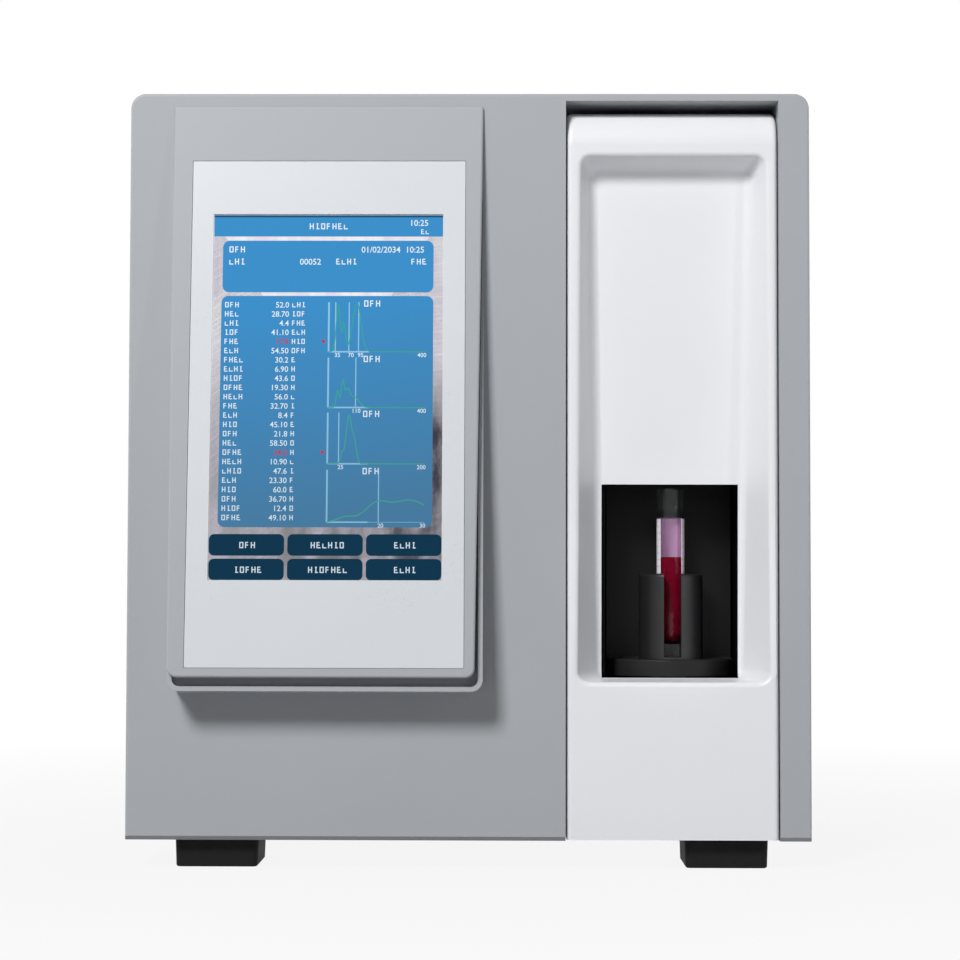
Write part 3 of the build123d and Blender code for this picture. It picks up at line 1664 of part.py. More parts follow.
# Valve bank: a manifold with a row of solenoid valves
valve_mid_y = (plate_front + plate_back) / 2 - valve_shift
with BuildPart() as valve_bank:
    with BuildSketch(side_on(plate_x - manifold_depth)):
        with Locations((valve_mid_y, valve_z)):
            Rectangle(valve_count * valve_pitch + 2 * manifold_margin, manifold_height)
    extrude(amount=manifold_depth)
    with BuildSketch(side_on(plate_x - manifold_depth - valve_length)):
        with Locations((valve_mid_y, valve_z)):
            with GridLocations(valve_pitch, 0, valve_count, 1):
                RectangleRounded(valve_size, valve_size, valve_corner)
    extrude(amount=valve_length)
save(valve_bank.part, "valve_bank")

# Main board on standoffs, with its larger components
board_x = bulkhead_x - board_standoff - board_thickness
with BuildPart() as main_board:
    with BuildSketch(side_on(board_x)):
        with Locations((board_y, board_z)):
            Rectangle(board_length, board_height)
    extrude(amount=board_thickness)
    with BuildSketch(side_on(board_x + board_thickness)):
        with Locations((board_y, board_z)):
            with GridLocations(
                board_length - 2 * standoff_inset, board_height - 2 * standoff_inset, 2, 2
            ):
                Rectangle(standoff_size, standoff_size)
    extrude(amount=board_standoff)
    with BuildSketch(side_on(board_x - chip_height)):
        with Locations((board_y + chip_y, board_z + chip_z)):
            Rectangle(chip_size, chip_size)
        with Locations((board_y + module_y, board_z + module_z)):
            Rectangle(module_length, module_width)
    extrude(amount=chip_height)
    with BuildSketch(side_on(board_x - plug_height)):
        with Locations((board_y, board_z - board_height / 2 + plug_inset)):
            with GridLocations(plug_pitch, 0, plug_count, 1):
                Rectangle(plug_length, plug_width)
    extrude(amount=plug_height)
save(main_board.part, "main_board")

with BuildPart() as power_supply:
    with BuildSketch(level(tray_top)):
        with Locations((supply_x, supply_y)):
            Rectangle(supply_width, supply_length)
    extrude(amount=supply_height)
    with BuildSketch(facing(supply_y - supply_length / 2)):
        with Locations((supply_x, tray_top + supply_height / 2)):
            with GridLocations(supply_slot_pitch, 0, supply_slots, 1):
                SlotOverall(supply_height / 2, supply_slot_width, rotation=90)
    extrude(amount=-supply_slot_depth, mode=Mode.SUBTRACT)
save(power_supply.part, "power_supply")

# Optical bench: a cast plate with the laser barrel, lens ring and flow cell
bench_mid_x = bulkhead_x - bench_width / 2
with BuildPart() as optics_bench:
    with BuildSketch(level(bench_z)):
        with Locations((bench_mid_x, (bench_front + bench_back) / 2)):
            RectangleRounded(bench_width, bench_back - bench_front, bench_corner)
    extrude(amount=bench_thickness)
    with BuildSketch(level(bench_z + bench_thickness)):
        with Locations((bench_mid_x - holder_offset, beam_y), (bench_mid_x, beam_y)):
            Rectangle(holder_thickness, holder_width)
        with Locations((bench_mid_x + cell_offset, beam_y)):
            Rectangle(cell_length, cell_width)
    extrude(amount=bench_unit_height)
    with BuildSketch(side_on(bench_mid_x - laser_start)):
        with Locations((beam_y, bench_z + bench_thickness + beam_rise)):
            Circle(laser_radius)
    extrude(amount=laser_length)
save(optics_bench.part, "optics_bench")
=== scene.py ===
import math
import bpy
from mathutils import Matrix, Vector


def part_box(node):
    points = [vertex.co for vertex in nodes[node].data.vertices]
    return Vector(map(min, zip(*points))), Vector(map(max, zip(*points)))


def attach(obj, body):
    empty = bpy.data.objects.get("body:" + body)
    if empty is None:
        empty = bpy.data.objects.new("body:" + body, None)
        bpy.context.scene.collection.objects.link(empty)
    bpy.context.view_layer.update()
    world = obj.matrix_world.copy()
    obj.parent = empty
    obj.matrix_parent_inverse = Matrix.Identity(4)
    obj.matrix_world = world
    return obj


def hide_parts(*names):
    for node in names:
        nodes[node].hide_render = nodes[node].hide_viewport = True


bl_info = {
    "name": "Blood Cell Counter",
    "version": (1, 0, 0),
    "blender": (4, 5, 0),
    "location": "View3D > Sidebar > Counter",
    "description": "Finishes, screen picture, sample tube and studio for a blood cell counter",
    "category": "Object",
}

import bmesh
import bpy
from bpy.props import FloatProperty, FloatVectorProperty, IntProperty, PointerProperty
from mathutils import Matrix, Vector

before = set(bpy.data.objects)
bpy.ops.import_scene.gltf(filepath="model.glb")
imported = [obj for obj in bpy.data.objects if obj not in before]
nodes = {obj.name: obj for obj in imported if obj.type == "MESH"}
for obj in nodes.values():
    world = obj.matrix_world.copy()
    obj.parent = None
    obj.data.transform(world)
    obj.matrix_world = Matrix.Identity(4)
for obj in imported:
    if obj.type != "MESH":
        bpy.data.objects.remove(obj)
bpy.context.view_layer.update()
mm = 0.001


def on_screen(red, green, blue):
    """The linear colour, with alpha, of screen values of 0 to 255."""

    def linear(value):
        part = value / 255
        return part / 12.92 if part <= 0.04045 else ((part + 0.055) / 1.055) ** 2.4

    return (linear(red), linear(green), linear(blue), 1.0)


# Shader sums


class Value:
    """A node's output whose arithmetic adds Math nodes to its material."""

    def __init__(self, finish, socket):
        self.finish = finish
        self.socket = socket

    def __add__(self, other):
        return self.finish.sum("ADD", self, other)

    def __radd__(self, other):
        return self.finish.sum("ADD", other, self)

    def __sub__(self, other):
        return self.finish.sum("SUBTRACT", self, other)

    def __rsub__(self, other):
        return self.finish.sum("SUBTRACT", other, self)

    def __mul__(self, other):
        return self.finish.sum("MULTIPLY", self, other)

    def __rmul__(self, other):
        return self.finish.sum("MULTIPLY", other, self)

    def __gt__(self, other):
        return self.finish.sum("GREATER_THAN", self, other)

    def __lt__(self, other):
        return self.finish.sum("LESS_THAN", self, other)


class Finish:
    """A material or a world, and the nodes that make it."""

    def __init__(self, name, kind="materials"):
        self.made = getattr(bpy.data, kind).new(name)
        self.made.use_nodes = True
        self.tree = self.made.node_tree
        self.tree.nodes.clear()

    def node(self, kind, settings=None, sockets=None, output=0):
        """Adds a node, with its settings first, and gives one of its outputs."""
        made = self.tree.nodes.new(kind)
        for name, setting in (settings or {}).items():
            setattr(made, name, setting)
        for name, value in (sockets or {}).items():
            if isinstance(value, Value):
                self.tree.links.new(value.socket, made.inputs[name])
            else:
                made.inputs[name].default_value = value
        return Value(self, made.outputs[output]) if made.outputs else None

    def sum(self, operation, *parts):
        """A number worked out from others."""
        return self.node("ShaderNodeMath", {"operation": operation}, dict(enumerate(parts)))

    def vector(self, operation, sockets, output=0):
        """A vector, or a number, worked out from vectors."""
        return self.node("ShaderNodeVectorMath", {"operation": operation}, sockets, output)

    def place(self):
        """Where a point is on the machine, in metres."""
        return self.node("ShaderNodeTexCoord", output="Object")

    def axis(self, name):
        """One of the X, Y and Z of a point on the machine."""
        return self.node("ShaderNodeSeparateXYZ", None, {0: self.place()}, output=name)

    def noise(self, size, detail=2.0, roughness=0.5, stretch=(1, 1, 1)):
        """Soft noise of 0 to 1 whose blobs are about size across, in metres."""
        scale = [1 / (size * part) for part in stretch]
        spread = self.vector("MULTIPLY", {0: self.place(), 1: scale})
        return self.node(
            "ShaderNodeTexNoise",
            None,
            {"Vector": spread, "Scale": 1.0, "Detail": detail, "Roughness": roughness},
        )

    def waves(self, letter, pitch):
        """A wave between -1 and 1 along an axis, one for each pitch in metres."""
        return self.sum("SINE", self.axis(letter) * (2 * math.pi / pitch))

    def length(self, vector):
        """How long a vector is."""
        return self.vector("LENGTH", {0: vector}, "Value")

    def ramp(self, factor, low, high, start=0.0, end=1.0):
        """A number from start to end while factor goes from low to high."""
        return self.node(
            "ShaderNodeMapRange", None, {0: factor, 1: low, 2: high, 3: start, 4: end}
        )

    def mix(self, factor, first, second):
        """A colour between two others."""
        return self.node(
            "ShaderNodeMix", {"data_type": "RGBA"}, {0: factor, 6: first, 7: second}, output=2
        )

    def bump(self, height, depth, strength=1.0):
        """A surface direction from a height of 0 to 1 that stands for depth in metres."""
        return self.node(
            "ShaderNodeBump", None, {"Height": height, "Distance": depth, "Strength": strength}
        )

    def surface(self, **sockets):
        """Joins the shader's sockets, named with underscores, and gives the material."""
        named = {name.replace("_", " "): value for name, value in sockets.items()}
        shader = self.node("ShaderNodeBsdfPrincipled", None, named)
        self.node("ShaderNodeOutputMaterial", None, {"Surface": shader})
        return self.made


# Finishes

lit = {"Specular_IOR_Level": 0.0, "Emission_Strength": 1.0}


def toned(colour, share, more=0.0):
    """A colour of which every part is a share of another's, and a little more."""
    return tuple(min(1.0, part * share + more) for part in colour[:3]) + (1.0,)


def across_and_up(finish, face):
    """How far a point is across a face and up it, from 0 to 1."""
    low = face.corner
    across = finish.ramp(finish.axis("X"), low.x, low.x + face.width)
    return across, finish.ramp(finish.axis("Z"), low.z, low.z + face.height)


def moulded(name, colour, roughness=0.5, grain=0.5 * mm, depth=0.02 * mm, patch=0.05, **fixed):
    """Moulded plastic: fine grain, and a colour and gloss that drift a little."""
    finish = Finish(name)
    drift = finish.noise(60 * mm, 3.0)
    fine = finish.noise(grain, 2.0, 0.6)
    dark, light = toned(colour, 1 - patch), toned(colour, 1 + patch)
    return finish.surface(
        Base_Color=finish.mix(drift * 0.7 + fine * 0.3, dark, light),
        Roughness=finish.ramp(drift + fine, 0.6, 1.4, roughness - 0.04, roughness + 0.05),
        Normal=finish.bump(fine, depth),
        **fixed,
    )


def rubber(name, colour):
    """Matt rubber with a dusty bloom in soft patches."""
    finish = Finish(name)
    bloom = finish.noise(9 * mm, 4.0, 0.65)
    fine = finish.noise(0.6 * mm, 2.0)
    return finish.surface(
        Base_Color=finish.mix(finish.ramp(bloom, 0.45, 0.8), colour, toned(colour, 2.2, 0.004)),
        Roughness=finish.ramp(bloom, 0.3, 0.7, 0.62, 0.8),
        Normal=finish.bump(fine, 0.03 * mm),
        Specular_IOR_Level=0.25,
    )


def brushed(name, colour, roughness, along, depth=0.006 * mm):
    """Metal with fine marks drawn out along one axis."""
    finish = Finish(name)
    stretch = tuple(40 if letter == along else 1 for letter in "XYZ")
    marks = finish.noise(0.35 * mm, 3.0, 0.6, stretch)
    stain = finish.noise(30 * mm, 3.0)
    return finish.surface(
        Base_Color=finish.mix(stain * 0.5 + marks * 0.5, toned(colour, 0.86), colour),
        Roughness=finish.ramp(marks, 0.3, 0.7, roughness - 0.06, roughness + 0.08),
        Normal=finish.bump(marks, depth),
        Metallic=1.0,
    )


def zinc_sheet():
    """Zinc plated sheet with a faint spangle."""
    finish = Finish("zinc_sheet")
    cells = finish.node(
        "ShaderNodeTexVoronoi", None, {"Vector": finish.place(), "Scale": 140.0}, output="Color"
    )
    tone = finish.node("ShaderNodeSeparateColor", None, {0: cells})
    fine = finish.noise(0.5 * mm, 2.0)
    return finish.surface(
        Base_Color=finish.mix(tone, on_screen(186, 190, 192), on_screen(206, 209, 210)),
        Roughness=finish.ramp(tone + fine, 0.4, 1.6, 0.34, 0.5),
        Normal=finish.bump(fine, 0.008 * mm),
        Metallic=1.0,
    )


def threaded(name, pitch, along):
    """Ground steel with a thread cut round it, and painted shade that darkens the thread's
    grooves.
    """
    finish = Finish(name)
    groove_and_shade = finish.ramp(finish.waves(along, pitch), -1.0, 1.0)
    fine = finish.noise(0.4 * mm, 2.0)
    return finish.surface(
        # Painted shade: the colour runs from dark in the thread's grooves to light on its crests.
        Base_Color=finish.mix(groove_and_shade, on_screen(120, 122, 124), on_screen(205, 207, 208)),
        Roughness=finish.ramp(fine, 0.3, 0.7, 0.22, 0.34),
        Normal=finish.bump(groove_and_shade, 0.35 * pitch),
        Metallic=1.0,
    )


def glassy(finish, tint, roughness=0.01, alpha=1.0):
    """Glass with a trace of handling on it; alpha under 1 lets plain light through it."""
    smear = finish.noise(14 * mm, 4.0, 0.6)
    return finish.surface(
        Base_Color=tint,
        Roughness=finish.ramp(smear, 0.45, 0.8, roughness, roughness + 0.05),
        Transmission_Weight=1.0,
        IOR=1.47,
        Alpha=alpha,
    )


def cover_glass():
    """Thin dark sheet over the lit picture: almost all see-through, with a soft gloss."""
    finish = Finish("cover_glass")
    smear = finish.noise(35 * mm, 4.0, 0.6)
    return finish.surface(
        Base_Color=on_screen(22, 28, 34),
        Roughness=finish.ramp(smear, 0.3, 0.8, 0.08, 0.18),
        Alpha=finish.ramp(smear, 0.3, 0.8, 0.03, 0.05),
    )


def picture_backdrop(face):
    """The lit picture behind the fields: pale, with soft dark streaks low at the right."""
    finish = Finish("picture_backdrop")
    across, height = across_and_up(finish, face)
    streaks = finish.noise(13 * mm, 3.0, 0.6, (0.7, 1.0, 2.4))
    soft = finish.ramp(streaks, 0.36, 0.6, 0.35, 1.0)
    lower = finish.ramp(height, 0.62, 0.4)
    shade = soft * lower * finish.ramp(across, 0.0, 1.0, 0.5, 1.0)
    pale = finish.mix(
        finish.ramp(streaks, 0.4, 0.6), on_screen(232, 224, 236), on_screen(247, 245, 247)
    )
    return finish.surface(
        Base_Color=on_screen(8, 8, 9),
        Roughness=finish.ramp(streaks, 0.0, 1.0, 0.4, 0.5),
        Emission_Color=finish.mix(shade, pale, on_screen(62, 58, 72)),
        **lit,
    )


def lit_field(name, face, top, bottom):
    """A lit field of the picture, which darkens low down and towards the right."""
    finish = Finish(name)
    across, height = across_and_up(finish, face)
    tone = finish.ramp(height - across * 0.1, 0.12, 0.72)
    return finish.surface(
        Base_Color=on_screen(6, 7, 8),
        Roughness=finish.ramp(finish.noise(8 * mm), 0.3, 0.7, 0.35, 0.45),
        Emission_Color=finish.mix(tone, bottom, top),
        **lit,
    )


def wet_blood():
    """Dark blood behind glass, a little lighter in soft patches."""
    finish = Finish("wet_blood")
    clots = finish.noise(5 * mm, 3.0)
    return finish.surface(
        Base_Color=finish.mix(clots, on_screen(96, 0, 22), on_screen(132, 4, 40)),
        Roughness=finish.ramp(clots, 0.3, 0.7, 0.24, 0.34),
        Specular_IOR_Level=0.08,
    )


def label_paper(axis_x, axis_y, mid_radius):
    """Label paper: white outside with faint print lines, lilac on the side towards the tube."""
    finish = Finish("label_paper")
    shift = (-axis_x, -axis_y, 0)
    flat = finish.vector("MULTIPLY_ADD", {0: finish.place(), 1: (1, 1, 0), 2: shift})
    outside = finish.length(flat) > mid_radius
    fibre = finish.noise(0.8 * mm, 3.0, 0.6)
    rows = finish.waves("Z", 3.2 * mm) > 0.86
    print_mask = outside * rows * finish.ramp(fibre, 0.4, 0.55)
    paper = finish.mix(outside, on_screen(240, 186, 232), on_screen(244, 240, 246))
    return finish.surface(
        Base_Color=finish.mix(print_mask * 0.35, paper, on_screen(120, 110, 140)),
        Roughness=finish.ramp(fibre, 0.3, 0.7, 0.55, 0.68),
        Normal=finish.bump(fibre, 0.015 * mm),
    )


def two_tone(name, box, inner, outer, roughness, metallic, **fixed):
    """A surface that has another colour, and may be metal, inside a box on the machine."""
    finish = Finish(name)
    inside = 1
    for letter, low, high in zip("XYZ", *box):
        place = finish.axis(letter)
        inside = inside * (place > low) * (place < high)
    fine = finish.noise(0.6 * mm, 2.0)
    return finish.surface(
        Base_Color=finish.mix(inside, outer, inner),
        Roughness=finish.ramp(fine, 0.3, 0.7, roughness, roughness + 0.08),
        Metallic=inside * metallic,
        Normal=finish.bump(fine, 0.01 * mm),
        **fixed,
    )


def marked_glass():
    """Barrel glass with dark marks round it, five millimetres apart."""
    finish = Finish("marked_glass")
    ring = finish.waves("Z", 5 * mm) > 0.96
    clear, dark = on_screen(240, 245, 246), on_screen(20, 22, 30)
    return glassy(finish, finish.mix(ring, clear, dark))


def circuit_board(face_x):
    """Green lacquered board with faint copper tracks, and dark parts in front of face_x."""
    finish = Finish("circuit_board")
    sockets = {
        "Vector": finish.vector("SCALE", {0: finish.place(), "Scale": 90.0}),
        "Color1": on_screen(18, 92, 50),
        "Color2": on_screen(12, 74, 40),
        "Mortar": on_screen(34, 122, 66),
        "Mortar Size": 0.05,
    }
    tracks = finish.node("ShaderNodeTexBrick", {"offset": 0.5}, sockets, "Color")
    gloss = finish.noise(12 * mm, 3.0)
    part = finish.axis("X") < face_x
    return finish.surface(
        Base_Color=finish.mix(part, tracks, on_screen(34, 34, 36)),
        Roughness=finish.ramp(gloss, 0.3, 0.7, 0.22, 0.36),
        Normal=finish.bump(finish.noise(1.2 * mm), 0.02 * mm),
    )


def toothed_belt():
    """Black belt rubber with the shadow of its teeth across it."""
    finish = Finish("toothed_belt")
    height = finish.ramp(finish.waves("Y", 2.0 * mm), -0.4, 0.4)
    return finish.surface(
        Base_Color=finish.mix(height, on_screen(18, 18, 19), on_screen(40, 40, 42)),
        Roughness=finish.ramp(finish.noise(2 * mm), 0.3, 0.7, 0.6, 0.75),
        Normal=finish.bump(height, 0.5 * mm),
    )


def dress(finish, *names):
    """Gives carried-over parts their finish."""
    for name in names:
        mesh = nodes[name].data
        mesh.materials.clear()
        mesh.materials.append(finish)


# Shapes


class Face:
    """One flat side of a part: its lower left corner, directions and size, in metres."""

    def __init__(self, node, chosen=lambda normal: normal.y < -0.9):
        mesh = nodes[node].data
        front = [face for face in mesh.polygons if chosen(face.normal)]
        normal = Vector()
        for face in front:
            normal += face.normal * face.area
        self.out = normal.normalized()
        self.up = (Vector((0, 0, 1)) - self.out * self.out.z).normalized()
        self.right = self.up.cross(self.out)
        points = [mesh.vertices[index].co for face in front for index in face.vertices]
        across = [self.right.dot(point) for point in points]
        along = [self.up.dot(point) for point in points]
        depth = max(self.out.dot(point) for point in points)
        self.width = max(across) - min(across)
        self.height = max(along) - min(along)
        self.corner = self.right * min(across) + self.up * min(along) + self.out * depth

    def point(self, across, down, lift):
        """A point across from the left edge, down from the top edge and lifted off the face."""
        up = self.height - down
        return self.corner + self.right * across + self.up * up + self.out * lift


def on_circle(x, y, radius, angle):
    """A point on a circle, with the angle in radians."""
    return x + radius * math.cos(angle), y + radius * math.sin(angle)


def rounded(left, top, right, bottom, radius, steps=6):
    """Outline of a field with round corners, in millimetres from the top left."""
    corners = (
        (left + radius, bottom - radius, 180),
        (right - radius, bottom - radius, 270),
        (right - radius, top + radius, 0),
        (left + radius, top + radius, 90),
    )
    return [
        on_circle(x, y, radius, -math.radians(start + 90 * step / steps))
        for x, y, start in corners
        for step in range(steps + 1)
    ]


def ribbon(points, width):
    """Outline of a line of some width through points."""
    left, right = [], []
    for index, (x, y) in enumerate(points):
        x0, y0 = points[max(index - 1, 0)]
        x1, y1 = points[min(index + 1, len(points) - 1)]
        length = math.hypot(x1 - x0, y1 - y0)
        side_x, side_y = (y1 - y0) / length * width / 2, -(x1 - x0) / length * width / 2
        left.append((x + side_x, y + side_y))
        right.append((x - side_x, y - side_y))
    return left + right[::-1]


def put(name, data, place=(0, 0, 0)):
    """Puts a mesh, a lamp or a camera in the scene."""
    holder = bpy.data.objects.new(name, data)
    bpy.context.scene.collection.objects.link(holder)
    holder.location = place
    return holder


def new_piece(name, build, finish, body="case", smooth=False):
    """Makes a piece that rides on a body, filled by a function that is given a bmesh."""
    piece = put(name, mesh_of(name, build))
    piece.data.materials.append(finish)
    if smooth:
        piece.data.shade_smooth()
    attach(piece, body)
    return piece


def mesh_of(name, build):
    """A mesh filled by a function that is given an empty bmesh."""
    form = bmesh.new()
    build(form)
    mesh = bpy.data.meshes.new(name)
    form.to_mesh(mesh)
    form.free()
    return mesh


def field_piece(
    name, face, outlines, lift, thickness, finish, body="case"
):
    """Thin plates with given outlines on a face, from lift upwards."""

    def build(form):
        for outline in outlines:
            lower, upper = (
                [form.verts.new(face.point(x * mm, y * mm, height)) for x, y in outline]
                for height in (lift, lift + thickness)
            )
            form.faces.new(upper)
            form.faces.new(lower[::-1])
            for index in range(len(outline)):
                after = (index + 1) % len(outline)
                form.faces.new((lower[index], lower[after], upper[after], upper[index]))
        bmesh.ops.recalc_face_normals(form, faces=form.faces)

    return new_piece(name, build, finish, body)


def lathe(form, profile, centre, steps=64):
    """Turns a profile of (radius, height) points round an upright axis."""
    rings = []
    for radius, height in profile:
        if radius < 1e-7:
            rings.append([form.verts.new((centre.x, centre.y, height))])
            continue
        angles = [2 * math.pi * step / steps for step in range(steps)]
        points = [(*on_circle(centre.x, centre.y, radius, angle), height) for angle in angles]
        rings.append([form.verts.new(point) for point in points])
    for lower, upper in zip(rings, rings[1:]):
        for step in range(steps):
            after = (step + 1) % steps
            corners = ((lower, step), (lower, after), (upper, after), (upper, step))
            distinct = list(dict.fromkeys(ring[index % len(ring)] for ring, index in corners))
            if len(distinct) > 2:
                form.faces.new(distinct)
    bmesh.ops.recalc_face_normals(form, faces=form.faces)


def arc(centre_radius, centre_height, radius, start, end, steps):
    """Points of a profile along an arc, with angles in degrees from the outward direction."""
    angles = [start + (end - start) * step / steps for step in range(steps + 1)]
    return [on_circle(centre_radius, centre_height, radius, math.radians(turn)) for turn in angles]


# Settings


def colour_setting(name, description, *levels):
    """A colour that can be set, whose default is given in screen values."""
    return FloatVectorProperty(
        name=name, description=description, subtype="COLOR", size=4, default=on_screen(*levels)
    )


def number_setting(name, description, value, unit="NONE"):
    """A number that can be set."""
    return FloatProperty(name=name, description=description, default=value, unit=unit)


class CaseSettings(bpy.types.PropertyGroup):
    """Colours of the case and the sampling bay."""

    grey: colour_setting("Case grey", "Colour of the painted case", 172, 175, 179)
    white: colour_setting("Bay white", "Colour of the sampling bay", 239, 240, 243)
    panel: colour_setting(
        "Display panel white", "Colour of the panel round the screen", 220, 224, 228
    )
    grain: number_setting("Grain", "Size of the paint's grain", 0.5 * mm, "LENGTH")


class PictureSettings(bpy.types.PropertyGroup):
    """Layout of the lit picture."""

    rows: IntProperty(name="Rows", description="Number of result rows", default=24, min=1)
    row_pitch: number_setting("Row pitch", "Height of one result row, in millimetres", 4.353)
    figure_height: number_setting("Figure height", "Height of the figures, in millimetres", 2.9)
    blue: colour_setting("Field blue", "Colour of the fields at their top", 62, 146, 206)
    deep_blue: colour_setting("Deep blue", "Colour of the fields at their foot", 72, 124, 162)


class TubeSettings(bpy.types.PropertyGroup):
    """Make-up of the sample tube."""

    meniscus: number_setting("Meniscus", "How far the blood climbs the glass", 0.7 * mm, "LENGTH")
    turns: IntProperty(name="Sides", description="Sides of the round glass", default=72, min=24)


class StudioSettings(bpy.types.PropertyGroup):
    """Lights and camera."""

    key_power: number_setting("Key light", "Power of the large light at the left", 48.5, "POWER")
    strip_power: number_setting(
        "Strip light", "Power of the narrow light at the right", 0.8, "POWER"
    )
    fill_power: number_setting(
        "Fill lights", "Power of each light beside and behind", 16.0, "POWER"
    )
    spot_power: number_setting("Tube spot", "Power of the narrow beam on the tube", 10.0, "POWER")
    lens: number_setting("Lens", "Focal length of the camera, in millimetres", 89.57)


# Operators


class COUNTER_OT_dress_case(bpy.types.Operator):
    """Finishes the case, the display housing, the bay and the feet"""

    bl_idname = "counter.dress_case"
    bl_label = "Dress the case"

    def execute(self, context):
        settings = context.scene.counter_case
        grey, white, panel = tuple(settings.grey), tuple(settings.white), tuple(settings.panel)
        painted = moulded("case_grey", grey, 0.5, settings.grain, 0.02 * mm, 0.03)
        dress(painted, "front_fascia", "display_plinth", "display_housing")
        dress(painted, "main_cover", "side_door")
        dress(moulded("bay_white", white, 0.36, 1.2 * mm, 0.01 * mm, 0.02), "bay_panel")
        dress(moulded("panel_white", panel, 0.3, 1.5 * mm, 0.006 * mm, 0.015), "display_panel")
        dress(rubber("foot_rubber", on_screen(12, 12, 12)), "feet")
        return {"FINISHED"}


class COUNTER_OT_dress_chamber(bpy.types.Operator):
    """Finishes the black chamber, the turntable and the tube adapter"""

    bl_idname = "counter.dress_chamber"
    bl_label = "Dress the chamber"

    disc_step = 0.5 * mm

    def execute(self, context):
        black = on_screen(12, 12, 13)
        liner = moulded("chamber_black", black, 0.6, 0.8 * mm, Specular_IOR_Level=0.05)
        dress(liner, "chamber_liner")
        low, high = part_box("sample_rotor")
        high.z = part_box("tube_adapter")[0].z + self.disc_step
        disc, screen = on_screen(38, 38, 39), on_screen(15, 15, 16)
        turned = two_tone(
            "turntable_black", (low, high), disc, screen, 0.4, 0.0, Specular_IOR_Level=0.15
        )
        dress(turned, "sample_rotor")
        grip = on_screen(33, 33, 34)
        dress(moulded("adapter_black", grip, 0.38, 0.5 * mm, 0.012 * mm), "tube_adapter")
        return {"FINISHED"}


class COUNTER_OT_dress_works(bpy.types.Operator):
    """Finishes the parts inside the case and on its back"""

    bl_idname = "counter.dress_works"
    bl_label = "Dress the works"

    thread_pitch = 2 * mm
    board_thickness = 1.6 * mm
    standoff = 6 * mm
    clearance = 0.1 * mm
    pins_low = Vector((-8.2 * mm, -5 * mm, -4.2 * mm))
    pins_high = Vector((8.2 * mm, 20 * mm, 4.2 * mm))

    def metals(self):
        """Finishes the sheet, steel and alloy parts."""
        zinc = zinc_sheet()
        dress(zinc, "base_tray", "bulkhead", "fluidics_plate", "sampler_stand", "rear_panel")
        dress(zinc, "cup_bracket", "power_supply")
        ground = brushed("ground_steel", on_screen(202, 203, 205), 0.28, "Z")
        dress(ground, "rotor_shaft", "rotor_bearing", "hinge_pins", "sample_needle")
        drawn = brushed("drawn_steel", on_screen(196, 198, 200), 0.32, "Y")
        dress(drawn, "cross_rail", "case_screws", "fan_guard", "door_latch")
        for screw, axis in (("lift", "Z"), ("syringe", "Z"), ("carriage", "Y")):
            dress(threaded(f"{screw}_thread", self.thread_pitch, axis), f"{screw}_screw")
        alloy = brushed("anodised_alloy", on_screen(205, 207, 210), 0.4, "Y", 0.004 * mm)
        dress(alloy, "needle_carriage", "needle_block", "syringe_frame", "syringe_crosshead")
        dress(alloy, "optics_bench", "rotor_pulley", "motor_pulley")

    def plastics(self):
        """Finishes the moulded, rubber and glass parts."""
        motor = moulded("motor_black", on_screen(52, 52, 54), 0.42, 0.7 * mm, 0.01 * mm)
        dress(motor, "rotor_motor", "lift_motor", "carriage_motor", "syringe_motor")
        dress(toothed_belt(), "rotor_belt")
        black = moulded("works_black", on_screen(38, 38, 40), 0.46)
        dress(black, "fan_frame", "fan_rotor", "switch_housing", "switch_rocker")
        dress(black, "valve_bank", "pump_body")
        dress(glassy(Finish("clear_acrylic"), on_screen(236, 240, 242), 0.06), "counting_cups")
        dress(marked_glass(), "syringe_barrels")
        dress(moulded("port_white", on_screen(216, 217, 219), 0.35), "reagent_ports")
        white = moulded("works_white", on_screen(224, 224, 226), 0.4)
        dress(white, "syringe_plungers", "pump_rotor")

    def execute(self, context):
        self.metals()
        self.plastics()
        board_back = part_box("main_board")[1].x - self.standoff - self.board_thickness
        dress(circuit_board(board_back - self.clearance), "main_board")
        low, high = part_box("data_sockets")
        low.y += self.board_thickness + self.clearance
        plating, green = on_screen(206, 207, 209), on_screen(20, 84, 46)
        box = (low, high + Vector((mm, mm, mm)))
        dress(two_tone("plated_sockets", box, plating, green, 0.24, 1.0), "data_sockets")
        low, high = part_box("power_inlet")
        middle = (low + high) / 2
        box = (middle + self.pins_low, middle + self.pins_high)
        black = on_screen(34, 34, 36)
        dress(two_tone("inlet_black", box, plating, black, 0.4, 1.0), "power_inlet")
        return {"FINISHED"}


